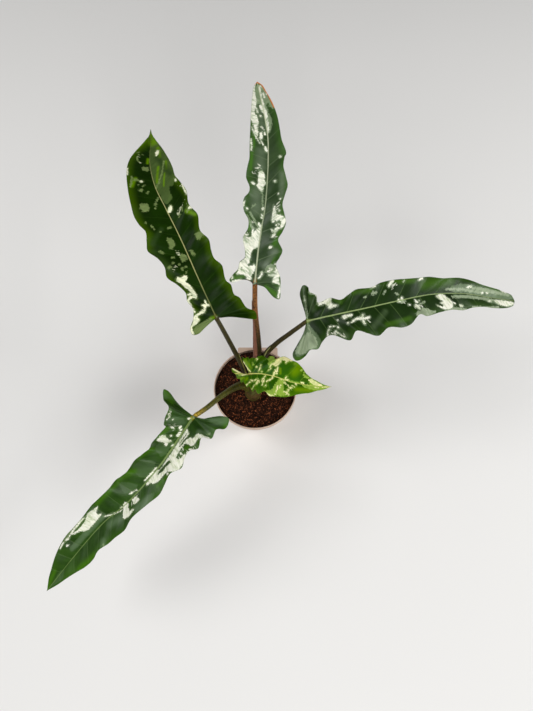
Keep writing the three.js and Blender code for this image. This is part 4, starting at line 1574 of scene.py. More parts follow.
    @staticmethod
    def _gap(flat: np.ndarray, start: np.ndarray, end: np.ndarray) -> tuple[np.ndarray, np.ndarray]:
        """The share along a straight piece that is nearest to each place, and how far away it is."""
        along = end - start
        t = np.clip((flat - start) @ along / max(float(along @ along), 1e-9), 0, 1)
        return t, np.linalg.norm(flat - start - t[:, None] * along, axis=1)

    def _sheet(self, rib: Path, feet: np.ndarray, shares: np.ndarray, sides: Sequence[BladeSide]) -> Sheet:
        """The blade's middle surface, with its two sides joined along the rib.

        Args:
            rib: the rib's path.
            feet: where each column starts on the rib.
            shares: the rows' shares of the way out.
            sides: the left and right sides on the flat.

        Returns:
            The surface.
        """
        fold = math.radians(self.plan.fold)
        fresh = np.concatenate([[True], np.diff(feet) > 1e-4])
        starts = feet[fresh]
        level = np.zeros_like(starts)
        points = [rib.frames(starts, self.plan.rolls)[0]]
        flats = [np.stack([starts, level], axis=1)]
        lays = [np.stack([starts, level, level], axis=1)]
        veins = [level]
        edges = [np.minimum(self.rib_edge, rib.length - starts)]
        ids: list[np.ndarray] = []
        count = len(starts)
        tip, inner = count - 1, len(feet) - 1
        t = shares[None, :]
        for side, sign in zip(sides, (1, -1)):
            s, w = side.places[..., 0], side.places[..., 1]
            point, up, left = rib.frames(s, self.plan.rolls)
            vein, phase = self._vein_fields(side)
            swell = self.quilt * np.sin(math.pi * phase) ** 2 * np.sin(math.pi * t) ** self.quilt_shape
            wave = self.plan.wave_gain * side.waves[:, None] * t**2
            rise = w * math.sin(fold) - self.curl * w**2 / 2 - wave + swell
            place = point + left * (sign * w * math.cos(fold))[..., None] + up * rise[..., None]
            from_margin = np.linalg.norm(side.places - side.places[:, -1:, :], axis=-1)
            shift = np.full((*s.shape, 1), self.side_shift if sign > 0 else 0.0)
            grid = np.full(s.shape, tip)
            grid[:inner] = count + np.arange(inner * s.shape[1]).reshape(inner, -1)
            count += inner * s.shape[1]
            ids.append(np.concatenate([(np.cumsum(fresh) - 1)[:, None], grid], axis=1))
            points.append(place[:inner].reshape(-1, 3))
            flats.append(np.stack([s, sign * w], axis=-1)[:inner].reshape(-1, 2))
            lays.append(np.concatenate([side.lay, shift], axis=-1)[:inner].reshape(-1, 3))
            veins.append(vein[:inner].ravel())
            edges.append(from_margin[:inner].ravel())
        joined = [np.concatenate(part) for part in (points, flats, lays, veins, edges)]
        return Sheet(*joined, ids, self._strip(ids[0], True) + self._strip(ids[1], False))

    def _surface(self, sheet: Sheet, normals: np.ndarray, length: float,
                 ) -> tuple[np.ndarray, np.ndarray, dict[str, np.ndarray]]:
        """Both faces of the blade, with its crown and keel along the rib.

        Args:
            sheet: the middle surface.
            normals: its normals.
            length: the rib's length.

        Returns:
            The upper points, the lower points and what the finishes read at each.
        """
        plan = self.plan
        flat = sheet.flat
        along = np.clip(flat[:, 0] / length, 0, 1)
        out = np.abs(flat[:, 1])
        on_rib = (flat[:, 0] > -1) & (flat[:, 0] < length)
        rib_reach = plan.rib_reach[0] * (1 - along) + plan.rib_reach[1] * along
        depth = self.keel_depth[0] * (1 - along) + self.keel_depth[1] * along
        taper = np.clip(sheet.edge / self.edge_taper, 0, 1)
        half = self.edge_thickness + (self.half_thickness - self.edge_thickness) * taper
        keel = depth * np.exp(-((out / (self.rib_spread * depth + self.keel_foot)) ** 2)) * on_rib
        crown = self.crown * np.exp(-((out / (self.rib_spread * rib_reach)) ** 2)) * on_rib
        top = sheet.points + normals * (half + crown)[:, None]
        bottom = sheet.points - normals * (half + keel)[:, None]
        found = self._marks(flat)
        joint = np.exp(-((flat[:, 0] / self.joint_reach) ** 2))
        return top, bottom, {
            "flat": np.stack([*flat.T, np.zeros(len(flat))], axis=1) * MM,
            "lay": sheet.lay * MM,
            "marks": np.stack([found[Tone.CREAM], found[Tone.PALE], found[Tone.SECTOR]], axis=1),
            "lines": np.stack([sheet.vein, out / rib_reach, sheet.edge * MM], axis=1),
            "spots": np.stack([found[Tone.DRY], found[Tone.SPRAY], found[Tone.BLOOM]], axis=1),
            "glow": np.stack([found[Tone.LIME], spread(plan.rib_glow, along), joint], axis=1),
        }

    def _vein_wire(self, runs: Sequence[np.ndarray], bottom: np.ndarray, normals: np.ndarray,
                   attributes: dict[str, np.ndarray]) -> Piece:
        """Wires for the raised veins of the underside, thinner towards the margin."""
        chosen = np.concatenate(runs)
        shares = np.concatenate([np.arange(len(run)) / (len(run) - 1) for run in runs])
        radii = self.vein_radius - self.vein_taper * shares
        places = bottom[chosen] + normals[chosen] * self.vein_sink * radii[:, None]
        ends = np.cumsum([len(run) for run in runs]).tolist()
        edges = [(k, k + 1) for run, end in zip(runs, ends) for k in range(end - len(run), end - 1)]
        kept = {key: value[chosen] for key, value in attributes.items()}
        return mesh_object("wire", places, [], attributes={**kept, "radius": radii * MM}, edges=edges)

    @staticmethod
    def _strip(ids: np.ndarray, flipped: bool) -> list[list[int]]:
        """Faces between neighbouring columns, without the corners that fall together."""
        faces = []
        first, second = ids[:-1], ids[1:]
        quads = np.stack([first[:, :-1], first[:, 1:], second[:, 1:], second[:, :-1]], axis=-1)
        for quad in quads.reshape(-1, 4).tolist():
            face = [v for k, v in enumerate(quad) if v != quad[k - 1]]
            if len(face) > 3 and face[0] == face[-1]:
                face = face[:-1]
            if len(set(face)) > 2:
                faces.append(face[::-1] if flipped else face)
        return faces


@dataclass(frozen=True)
class SheathPlan:
    """Where a stalk's sheath lies and how far it stands off, with the edge that shows given last."""

    name: str
    leaf: LeafPlan
    skin: SheathSkin
    span: tuple[float, float]
    turn: tuple[float, float]
    flare: tuple[float, ...]
    width: tuple[float, ...] = (1, 1, 0.9, 0.7, 0.3)
    node: str = ""
    slot: str = "stalk"


@dataclass
class Sheath:
    """The thin sheath at a stalk's foot, a curved sheet that is open on one side."""

    plan: SheathPlan
    standoff: float = 0.3
    steps: int = 70
    across: int = 26
    half_thickness: float = 0.2
    flare_bend: float = 1.6
    crease: float = 0.15

    def build(self, effects: SharedEffects) -> None:
        """Makes the sheath as a thin curved sheet with a ragged edge."""
        plan, leaf = self.plan, self.plan.leaf
        stalk = Path(leaf.stalk)
        share = np.linspace(0, 1, self.steps + 1)
        u = plan.span[0] + (plan.span[1] - plan.span[0]) * share
        point, up, left = stalk.frames(u * stalk.length)
        ragged = 1 + 0.04 * np.sin(share * 41) + 0.03 * np.sin(share * 97 + 1)
        width = spread(plan.width, share) * ragged
        k = np.linspace(0, 1, self.across + 1)
        place = 0.5 + (k[None, :] - 0.5) * np.minimum(width, 1)[:, None]
        angle = np.radians(plan.turn[0] + (plan.turn[1] - plan.turn[0]) * place)
        flare = spread(plan.flare, share)[:, None] * k[None, :] ** self.flare_bend
        crease = self.crease * np.sin(k[None, :] * 34) * (1 - share[:, None])
        reach = (spread(leaf.stalk_radii, u) + self.standoff)[:, None] + flare + crease
        grid = point[:, None] + up[:, None] * (reach * np.cos(angle))[..., None] \
            + left[:, None] * (reach * np.sin(angle))[..., None]
        points = grid.reshape(-1, 3)
        ids = np.arange(len(points)).reshape(self.steps + 1, -1)
        faces = grid_faces(*ids.shape, closed=False)
        loop = np.concatenate([ids[0], ids[1:, -1], ids[-1, -2::-1], ids[-2:0:-1, 0]]).tolist()
        lower, rim = far_side(faces, loop, len(points))
        offset = mean_normals(points, faces) * self.half_thickness
        attributes = {"share": np.tile(np.repeat(share, len(k)), 2), "around": np.tile(k, 2 * len(share))}
        made = mesh_object(f"sheath_{plan.name}", np.concatenate([points + offset, points - offset]),
                           [*faces, *lower, *rim], [plan.skin.material(effects)], attributes=attributes)
        settle(made, plan.node)


@dataclass(frozen=True)
class SoftLight:
    """A square soft light: where it hangs, its side and its power, in metres and watts."""

    name: str
    place: Colour
    side: float
    power: float


@dataclass
class Studio:
    """A pale floor, soft lights and the camera. Lengths are metres."""

    camera_place: tuple[float, float, float] = (0.01643, -0.20418, 0.84248)
    camera_tilt: float = 18.75
    lens: float = 27.04
    sensor_width: float = 36
    nearest: float = 0.01
    floor_half: float = 4
    floor_colour: Colour = (0.8, 0.79, 0.77)
    air_colour: Colour = (0.95, 0.97, 1.0)
    air: float = 0.08
    backdrop: float = 0.7
    aim: Colour = (0.0, 0.0, 0.2)
    lights: tuple[SoftLight, ...] = (
        SoftLight("right", (1.9, 0.05, 1.35), 0.9, 28.0),
        SoftLight("left", (-1.5, 0.15, 1.8), 1.1, 27.0),
        SoftLight("front", (0.2, -1.6, 1.5), 1.0, 22.0),
    )

    def build(self) -> None:
        """Makes the floor, the lights, the air and the camera."""
        self._floor()
        for light in self.lights:
            self._light(light)
        self._air()
        self._camera()
        log.info("studio: %d lights", len(self.lights))

    def _floor(self) -> None:
        """The pale floor, with a faint cloudiness."""
        half = self.floor_half / MM
        corners = np.array([(-half, -half, 0), (half, -half, 0), (half, half, 0), (-half, half, 0)])
        paint = Paint("floor")
        near = tuple(0.97 * part for part in self.floor_colour)
        tone = paint.noise(paint.place(), 3.0, 2, 0.5)
        paint.give({"Base Color": paint.mix(tone, near, self.floor_colour), "Roughness": 0.85})
        mesh_object("floor", corners, [[0, 1, 2, 3]], [paint.made])

    def _light(self, light: SoftLight) -> None:
        """One light, aimed at the plant."""
        lamp = bpy.data.lights.new(light.name, "AREA")
        lamp.shape = "SQUARE"
        lamp.size = light.side
        lamp.energy = light.power
        holder = bpy.data.objects.new(light.name, lamp)
        holder.location = light.place
        holder.rotation_euler = (Vector(self.aim) - Vector(light.place)).to_track_quat("-Z", "Y").to_euler()
        bpy.context.scene.collection.objects.link(holder)

    def _air(self) -> None:
        """The faint light from all round, and the paler backdrop that only the camera sees."""
        world = bpy.data.worlds.new("air")
        world.use_nodes = True
        background = world.node_tree.nodes["Background"]
        wiring = Wiring(world.node_tree)
        wiring.feed(background.inputs["Color"], self.air_colour)
        seen = wiring.value("ShaderNodeLightPath", output="Is Camera Ray")
        wiring.feed(background.inputs["Strength"], seen * (self.backdrop - self.air) + self.air)
        bpy.context.scene.world = world
        bpy.context.scene.view_settings.view_transform = "Standard"

    def _camera(self) -> None:
        """The camera at the photograph's angle."""
        camera = bpy.data.cameras.new("camera")
        camera.lens = self.lens
        camera.sensor_width = self.sensor_width
        camera.sensor_fit = "AUTO"
        camera.clip_start = self.nearest
        camera.dof.use_dof = False
        holder = bpy.data.objects.new("camera", camera)
        holder.location = self.camera_place
        holder.rotation_euler = (math.radians(self.camera_tilt), 0.0, 0.0)
        bpy.context.scene.collection.objects.link(holder)
        bpy.context.scene.camera = holder


# The underside of every blade is a dark purple-brown, pinker where the blade is cream
UNDERSIDE = shade(84, 38, 48)
UNDERSIDE_MARK = shade(186, 140, 132)

OLIVE_STALK = StalkSkin("olive stalk", shade(58, 50, 18), shade(28, 20, 7), shade(70, 62, 24))
ORANGE_STALK = StalkSkin("orange stalk", shade(50, 42, 15), shade(28, 18, 7), shade(150, 94, 42),
                         (0.42, 0.8))
YELLOW_STALK = StalkSkin("yellow stalk", shade(82, 84, 24), shade(44, 40, 10), shade(186, 156, 52),
                         (0.7, 0.86))
YOUNG_STALK = StalkSkin("young stalk", shade(88, 90, 28), shade(60, 48, 20), shade(140, 150, 34))

# The long arching leaf at the upper left: saturated dark green, with a paler sector near its tip
BACK_LEFT = LeafPlan(
    name="back_left",
    stalk=((-5, -2, 98), (-11, 7, 126), (-18, 18, 152), (-27, 28, 186), (-35, 34, 226), (-42, 37, 268)),
    stalk_radii=(4, 3.4, 3.1, 2.7),
    rib=((-42, 37, 268), (-61, 75, 288), (-82, 120, 302), (-101, 158, 308),
         (-116, 190, 307), (-126, 228, 300), (-130, 268, 289), (-134, 298, 280)),
    left=(
        (0, 0), (-2, 8), (-5, 18), (-8, 27), (-6, 34), (2, 33), (10, 26), (21, 21), (31, 23), (40, 21),
        (52, 26), (64, 33), (74, 31), (86, 34), (101, 41), (110, 38), (120, 34), (133, 37), (147, 38),
        (162, 35), (178, 32), (196, 30), (214, 28), (231, 23), (246, 14), (260, 5), (275, 2), (290, 0)),
    right=(
        (0, 0), (-3, 12), (-9, 23), (-16, 34), (-20, 43), (-12, 46), (-3, 37), (10, 35), (17, 30),
        (28, 32), (36, 28), (53, 32), (63, 26), (74, 27), (87, 30), (98, 24), (119, 31), (131, 26),
        (152, 32), (166, 30), (178, 27), (196, 27), (212, 25), (228, 21), (244, 15), (259, 7), (275, 2),
        (290, 0)),
    marks={
        Tone.CREAM: (
            (1.2, (-6, 33), (-1, 33), (3, 31)),
            (0, (2, 33), (4, 31), (6, 27), (11, 26), (10, 20), (5, 19), (3, 26)),
            (1.2, (10, 24), (12, 23), (13, 15)), (2, (13, 13), (14, 10)),
            (1, (14, 9), (17, 7), (19, 5)), (1.3, (17, 2), (20, 9)), (0.9, (19, 4), (23, 4)),
            (1.2, (17, 21), (22, 22), (31, 22)), (1.1, (32, 22), (34, 17), (32, 13)),
            (1, (37, 19), (37, 16)),
            (0, (29, 12), (33, 15), (40, 15), (45, 19), (52, 21), (56, 25), (60, 23), (57, 17),
             (59, 13), (55, 11), (52, 16), (47, 13), (40, 11), (33, 10)), (2.3, (136, -2), (140, -6)),
            (1.8, (186, 14)), (1.8, (229, -9), (237, -10)), (0.9, (199, 29), (211, 28)),
            (1, (169, -25), (172, -26)), (0.8, (173, -29), (180, -28)), (0.8, (146, -30), (162, -31)),
            (0.9, (127, -24), (128, -28))),
        Tone.PALE: (
            (0, (91, 15), (95, 17), (98, 15), (105, 16), (106, 12), (102, 9), (96, 9), (93, 12)),
            (0, (73, 10), (79, 10), (84, 7), (80, 2), (74, 2)),
            (0, (74, -8), (77, -5), (84, -3), (81, -8)),
            (0, (90, -17), (98, -17), (96, -21), (97, -26), (92, -26), (90, -21)),
            (0, (144, 20), (147, 26), (152, 28), (157, 25), (155, 18), (149, 17)),
            (0, (171, 18), (174, 21), (176, 18), (173, 14)), (1, (181, 19)),
            (0.9, (178, 14), (180, 12)), (0, (200, 3), (204, 10), (210, 10), (209, 2)),
            (1.5, (72, 24), (72, 27)), (1.2, (82, 16), (82, 19)), (1.3, (76, 20)),
            (1.3, (65, 13), (67, 13)), (1.2, (72, 14)), (1.3, (67, 8)), (0.8, (61, 10)),
            (1.3, (116, 8), (117, 5)), (1, (91, 26), (95, 29)), (1.2, (121, 24), (126, 24)),
            (1.3, (132, 29)), (1, (115, 18)), (0.8, (124, -9), (126, -12)),
            (0.8, (128, -16), (133, -18)), (0.9, (124, -20), (126, -23)), (1, (168, 13), (169, 10)),
            (1, (145, 11)), (1.3, (149, 9), (152, 8)), (0.9, (155, 5), (158, 3)),
            (1.1, (181, 28), (188, 25), (195, 24)), (1.7, (190, 22), (188, 17)),
            (0.9, (223, 15), (228, 16)), (0.9, (230, 13), (232, 13)), (1.2, (236, 14)), (0.9, (231, 9)),
            (0.9, (220, 13)), (1.2, (29, -33)),
            (0.8, (172, 0), (180, -7), (190, -12), (200, -15), (214, -18)),
            (0, (-8, 24), (-7, 30), (-3, 32), (1, 27), (2, 18), (3, 6), (0, 4), (-5, 17))),
        Tone.SECTOR: (
            (0, (145, -1), (175, -1), (210, 1), (244, 0), (262, -2), (262, -8), (240, -18),
             (205, -28), (178, -30), (168, -23), (164, -19), (166, -16), (161, -13), (149, -13),
             (146, -9)),),
        Tone.GREEN: (
            (1, (149, -6), (157, -9)),),
        Tone.LIME: (
            (11, (292, 0), (256, -4)), (6, (262, 6), (236, 24)), (4, (222, -13), (244, -10)),
            (3, (196, -19), (212, -20)), (8, (225, 33), (170, 39)), (6, (165, 42), (140, 43)),
            (3, (180, -4), (205, -10)), (2, (170, -10), (190, -16)), (4, (181, 26), (192, 20)),
            (4, (120, -28), (125, -20)), (3, (216, 3), (224, 2)), (4, (2, 6), (1, 0))),
        Tone.SPRAY: (
            (7, (66, 22), (84, 9)), (6, (215, 12), (236, 12)), (5, (128, -10), (138, -26)),
            (5, (172, -24), (160, -28))),
        # Painted sheen: pale haze laid on as colour where light would be reflected
        Tone.BLOOM: (
            (9, (70, 27), (95, 36)), (5, (118, 16), (106, 32)), (7, (225, -10), (185, -22))),
    },
    palette=LeafPalette(
        dark=shade(12, 27, 2), middle=shade(25, 51, 3), lime=shade(100, 140, 0),
        pale=shade(122, 140, 84), sector=shade(80, 101, 50), bloom=shade(42, 63, 26),
        vein=shade(42, 68, 17), rib=shade(176, 174, 116), joint=shade(92, 62, 22),
        cream=shade(240, 240, 208), margin_glow=0.25, gloss=0.06, vein_share=0.3, roughness=0.38),
    skin=OLIVE_STALK,
    rib_reach=(0.9, 0.45),
    rib_glow=(0.25, 0.4, 0.9, 0.9, 1, 1, 0.6, 0.25, 0.3, 0.4),
)

# The leaf that stands upright at the back: grey-green, the grey partly its own colour and partly painted
# sheen, with a cream rib and white at its base and tip
BACK = LeafPlan(
    name="back",
    stalk=((-1, -1, 100), (2, 10, 130), (6, 25, 162), (5.4, 39, 197), (2.6, 58, 242), (3, 73, 284)),
    stalk_radii=(5, 4.1, 3.4, 3),
    rib=((3, 73, 284), (6, 99, 298), (10, 125, 311), (15, 152, 322),
         (18, 193, 332), (18, 234, 337), (13, 271, 338), (5, 320, 334)),
    left=(
        (0, 0), (4, 8), (3, 16), (-1, 26), (2, 30), (9, 26), (15, 21), (23, 20), (29, 14), (39, 16),
        (50, 20), (60, 15), (69, 16), (78, 23), (88, 26), (96, 25), (101, 20), (108, 20), (121, 25),
        (133, 24), (142, 22), (158, 22), (176, 21), (196, 18), (216, 14), (235, 10), (250, 6), (260, 0)),
    right=(
        (0, 0), (-1, 10), (-7, 17), (-13, 24), (-14, 31), (-3, 31), (11, 29), (24, 23), (33, 26),
        (42, 28), (52, 22), (62, 25), (74, 27), (83, 23), (91, 20), (103, 22), (114, 24), (124, 21),
        (134, 18), (145, 19), (154, 21), (166, 16), (180, 15), (200, 15), (218, 13), (235, 9), (250, 6),
        (260, 0)),
    marks={
        Tone.CREAM: (
            (0, (9, 23), (13, 20), (20, 21), (24, 19), (26, 15), (29, 13), (34, 14), (40, 17),
             (50, 21), (52, 17), (51, 12), (53, 9), (59, 7), (62, 4), (69, 1), (60, 0), (42, 0),
             (41, 3), (39, 6), (35, 8), (23, 9), (21, 11), (19, 9), (20, 5), (23, 3), (19, 1),
             (12, 3), (10, 5), (4, 5), (4, 10), (9, 11), (10, 15)), (0.8, (51, 19), (54, 18), (54, 14)),
            (0.8, (52, 9), (60, 9)), (1.2, (75, 2), (78, 2)), (1, (84, 2), (86, 2)),
            (0.8, (66, 3), (68, 4)), (1.1, (0, 26), (1, 22), (3, 17)), (1, (3, 27), (6, 27)),
            (0, (103, 6), (107, 9), (111, 13), (113, 10), (120, 11), (129, 10), (129, 6), (122, 3),
             (119, 4), (115, 1), (112, 4), (107, 4)), (1.5, (112, 15), (114, 17)),
            (1.1, (82, 20), (83, 21)), (0.9, (83, 26), (91, 25)),
            (0, (173, 12), (180, 15), (190, 15), (203, 18), (220, 16), (254, 8), (256, 2), (250, 5),
             (235, 6), (221, 7), (215, 9), (206, 12), (203, 9), (191, 9), (189, 12), (180, 11)),
            (1.7, (171, 8), (177, 8)), (0.6, (164, 10), (172, 14), (180, 16), (187, 18)),
            (0.5, (162, 6), (169, 9)), (1.3, (154, 2), (159, 4)), (0.8, (154, 20), (170, 20)),
            (1.2, (202, 5)), (1, (207, 8), (214, 8)), (0.8, (176, 3), (179, 3)),
            (0, (205, 0), (209, 3), (219, 4), (221, 1), (216, 0)),
            (0, (176, 0), (182, -3), (192, -3), (206, -4), (216, -2), (250, -2), (250, 0), (200, 0)),
            (0.9, (229, -5), (238, -4)), (1.7, (250, -3)), (0.7, (234, -8), (248, -7)),
            (0, (71, -11), (76, -10), (91, -10), (85, -13), (80, -14), (80, -22), (77, -27),
             (67, -24), (66, -22), (76, -21), (74, -16)), (1.6, (55, -15), (58, -16)),
            (0, (57, -15), (64, -15), (68, -18), (67, -21), (60, -18)), (0.8, (61, -14), (64, -12)),
            (1.4, (70, -17), (71, -18)), (1.1, (43, -13), (44, -15)), (0.9, (84, -17)),
            (0.8, (103, -14)), (0.8, (97, -17)), (1.3, (117, -9)), (1.5, (147, -14)),
            (1.3, (11, -7), (14, -7)), (0.8, (7, -4), (9, -6)),
            (0, (1, -31), (3, -25), (4, -20), (9, -21), (14, -25), (15, -29), (7, -27)),
            (1.3, (12, -16), (12, -23)), (1, (16, -14), (16, -17)), (1, (20, -15), (19, -19)),
            (0.7, (15, -27), (16, -20)), (1, (20, -23), (15, -28)), (0.9, (25, -22)),
            (1, (-13, -29), (2, -31))),
        Tone.GREEN: (
            (1.2, (213, -6), (219, -7)), (0.8, (70, -19), (74, -14)), (0.6, (14, 17), (18, 17))),
        Tone.PALE: (
            (0, (220, 8), (235, 7), (247, 5), (254, 1), (251, -6), (240, -8), (226, -9), (215, -12),
             (210, -12), (222, -3)),
            (0, (176, -1), (183, -5), (195, -8), (202, -6), (222, -4), (220, -1)),
            (1, (207, 8), (215, 8)), (0, (14, -10), (22, -12), (25, -18), (20, -25), (14, -22)),
            (0.6, (88, 3), (104, 5)), (1, (60, 9), (74, 19)), (0.9, (65, 5), (79, 17)),
            (0.8, (84, 15), (88, 12))),
        Tone.DRY: (
            (3, (260, 1), (255, -4)), (3.4, (254, -5), (248, -7), (235, -10), (214, -14)),
            (1, (254, 4), (260, 0))),
        Tone.LIME: (
            (5, (-10, -26), (-2, -14)), (4, (47, -18), (62, -22)), (3, (60, 13), (68, 14)),
            (3, (130, 20), (150, 19)), (2.5, (158, 17), (176, 16)), (3, (24, -18), (32, -20)),
            (4, (4, 24), (8, 14))),
        Tone.SPRAY: (
            (8, (235, 8), (185, 13)), (6, (72, 10), (55, 15)), (7, (95, -14), (55, -18)),
            (6, (20, -24), (0, -26)), (6, (170, 9), (186, 5)), (7, (118, 18), (135, 10))),
        # Painted sheen: pale haze laid on as colour where light would be reflected
        Tone.BLOOM: (
            (6, (215, 4), (180, 6)), (6, (20, -10), (40, -20)), (6, (100, -18), (125, -17)),
            (12, (82, 10), (104, 12)), (11, (133, 9), (152, 9))),
    },
    palette=LeafPalette(
        dark=shade(34, 53, 26), middle=shade(60, 80, 47), lime=shade(68, 112, 34),
        pale=shade(140, 158, 122), sector=shade(96, 108, 86), bloom=shade(96, 112, 86),
        vein=shade(98, 116, 82), rib=shade(196, 202, 168), joint=shade(176, 124, 60),
        veil=shade(160, 176, 142), dry=shade(206, 124, 64), margin_glow=0.42, gloss=0.16),
    skin=ORANGE_STALK,
    rib_reach=(1.1, 0.7),
    rib_glow=(0.8, 0.7, 0.4, 0.35, 0.7, 1, 1, 0.8),
)

# The leaf that reaches to the right, turned a little away: mid green below, pale towards its tip; the pale
# of the tip and the lower lobe is painted sheen, and the pale streaks along the rib are painted highlights
RIGHT = LeafPlan(
    name="right",
    stalk=((2, -4, 99), (8, 8, 130), (12.6, 24, 160), (27.6, 33, 188), (47, 38, 218), (65, 42, 246)),
    stalk_radii=(4.6, 3.9, 3.2, 2.7),
    rib=((65, 42, 246), (95, 45, 257), (133, 51, 264), (172, 60, 265),
         (213, 71, 259), (256, 78, 247), (296, 79, 233), (336, 83, 214)),
    rolls=(-12, -12, -6),
    left=(
        (0, 0), (0, 11), (-1, 23), (-1, 35), (5, 44), (10, 40), (11, 34), (18, 28), (20, 17), (33, 22),
        (45, 15), (55, 20), (66, 25), (82, 22), (96, 26), (112, 26), (125, 24), (140, 22), (156, 22),
        (171, 18), (184, 19), (197, 20), (211, 18), (225, 14), (245, 13), (264, 12), (279, 8), (286, 0)),
    right=(
        (0, 0), (-6, 14), (-15, 26), (-23, 37), (-20, 46), (-9, 43), (0, 37), (8, 37), (16, 30),
        (28, 25), (46, 34), (55, 26), (67, 31), (79, 36), (90, 30), (107, 33), (119, 31), (128, 23),
        (142, 26), (160, 24), (178, 22), (197, 22), (212, 18), (228, 15), (246, 14), (264, 12), (279, 8),
        (286, 0)),
    marks={
        Tone.CREAM: (
            (0, (24, 18), (27, 22), (35, 24), (34, 18), (34, 13), (41, 10), (37, 9), (30, 8), (28, 14)),
            (0.9, (20, 15), (25, 18)), (0.7, (11, 33), (16, 31), (19, 27), (20, 20), (20, 16)),
            (0, (103, 19), (104, 22), (107, 25), (113, 26), (108, 22), (105, 18)),
            (0.7, (82, 22), (88, 23)), (0, (140, 19), (143, 21), (148, 22), (148, 20), (144, 19)),
            (1.1, (112, 1), (113, -1)), (0.8, (117, 3), (116, 0)),
            (0, (42, -4), (47, -3), (56, -4), (53, -7), (49, -6), (45, -9)),
            (1, (52, -14), (57, -11), (64, -11), (67, -7)), (1.1, (66, -12), (73, -12)),
            (0.9, (65, -14), (66, -19)), (1, (48, -14)),
            (0.6, (24, -27), (24, -20), (27, -14), (32, -14)), (0.7, (35, -15), (36, -17)),
            (0.6, (37, -26), (41, -29)), (0.5, (32, -20), (35, -24)), (1, (122, -8)),
            (1.2, (132, -4), (133, -7)), (0.7, (137, -5)),
            (0, (127, -11), (130, -9), (133, -11), (135, -16), (131, -17)),
            (0, (160, -3), (165, -1), (172, -1), (175, -6), (179, -9), (181, -14), (179, -20),
             (166, -21), (156, -14), (165, -18), (168, -15), (163, -12), (169, -10), (164, -7)),
            (1.5, (193, -16), (196, -17)), (0.6, (183, -13), (185, -14)),
            # The white patch at the tip is partly cream and partly a painted highlight
            (0, (246, -3), (257, -2), (282, -2), (283, -5), (270, -9), (252, -9)),
            (0.9, (262, 12), (272, 10)), (1, (237, -6), (241, -5)), (0.9, (227, 4), (229, 4)),
            (0.9, (234, 5), (237, 5)), (1, (206, 8), (212, 10)), (0.8, (3, 25))),
        Tone.PALE: (
            (0, (80, 14), (84, 18), (89, 16), (86, 13)), (1, (72, 13), (74, 13)),
            (1, (96, 12), (99, 15)), (1, (122, 21), (124, 22)), (0.9, (110, 9), (113, 7)),
            (0, (109, -1), (118, 0), (122, -3), (113, -4)),
            (0, (124, -22), (128, -18), (133, -19), (137, -15), (144, -17), (148, -20), (156, -22),
             (150, -26), (129, -26)), (0, (166, -21), (185, -19), (204, -20), (196, -24), (170, -25)),
            (1, (137, -10), (143, -8)), (1.1, (212, -17), (235, -15), (252, -12)),
            # The long strokes on these two lines, along the rib towards the tip, are painted highlights
            (1.4, (176, 5), (195, 5), (228, 4)), (1.6, (184, -5), (205, -4), (246, -3)),
            (2, (214, 8), (240, 8), (275, 7)), (2, (250, -5), (282, -4)),
            # The patch on the lower lobe is painted sheen
            (0, (-20, -37), (-16, -30), (-8, -20), (0, -14), (7, -20), (10, -30), (6, -35), (-2, -36),
             (-10, -40)), (0.8, (1, 2), (3, 16), (4, 30)), (0.7, (1, -3), (3, -20), (5, -32))),
        # These paler areas, on the lower lobe and towards the tip, are painted sheen
        Tone.SECTOR: (
            (0, (0, -3), (-8, -18), (-20, -36), (-18, -42), (-8, -40), (-1, -37), (8, -37), (15, -30),
             (11, -20), (4, -8)), (0, (178, 1), (184, 10), (205, 12), (225, 11), (286, 10), (286, 0)),
            (0, (178, -2), (200, -7), (222, -5), (245, -8), (286, -10), (286, -1))),
        Tone.GREEN: (
            (3, (-19, -43), (-13, -44)), (0.8, (180, 2), (225, 2), (270, 1)),
            (0.8, (163, -10), (168, -10)), (0.6, (161, -15), (166, -16))),
        Tone.LIME: (
            (12, (148, 13), (182, 15)), (6, (63, 22), (80, 20)), (4, (39, 18), (44, 13)),
            (6, (112, 24), (135, 20)), (5, (90, -26), (118, -24)), (4, (-19, -43), (-12, -44)),
            (4, (225, 15), (262, 11)), (4, (0, 3), (2, -2))),
        Tone.SPRAY: (
            (7, (28, 16), (35, 14)), (8, (40, -8), (75, -14)), (8, (128, -12), (190, -14)),
            (6, (98, 16), (112, 20)), (6, (24, -22), (40, -26)), (5, (112, 4), (118, -4))),
        # Painted sheen: pale haze laid on as colour where light would be reflected
        Tone.BLOOM: (
            (6, (11, 24), (11, 12)), (5, (4, 40), (3, 20)), (5, (44, -28), (36, -18)),
            (6, (92, -10), (76, -24))),
    },
    palette=LeafPalette(
        dark=shade(17, 34, 8), middle=shade(33, 57, 16), lime=shade(62, 98, 24),
        pale=shade(160, 174, 142), sector=shade(110, 130, 96), bloom=shade(70, 90, 56),
        vein=shade(84, 108, 58), rib=shade(150, 168, 110), joint=shade(116, 128, 40), gloss=0.14,
        vein_share=0.45, roughness=0.36),
    skin=OLIVE_STALK,
    rib_reach=(1.1, 0.5),
    rib_glow=(1, 1, 0.9, 0.8, 0.6, 0.7, 0.5),
)
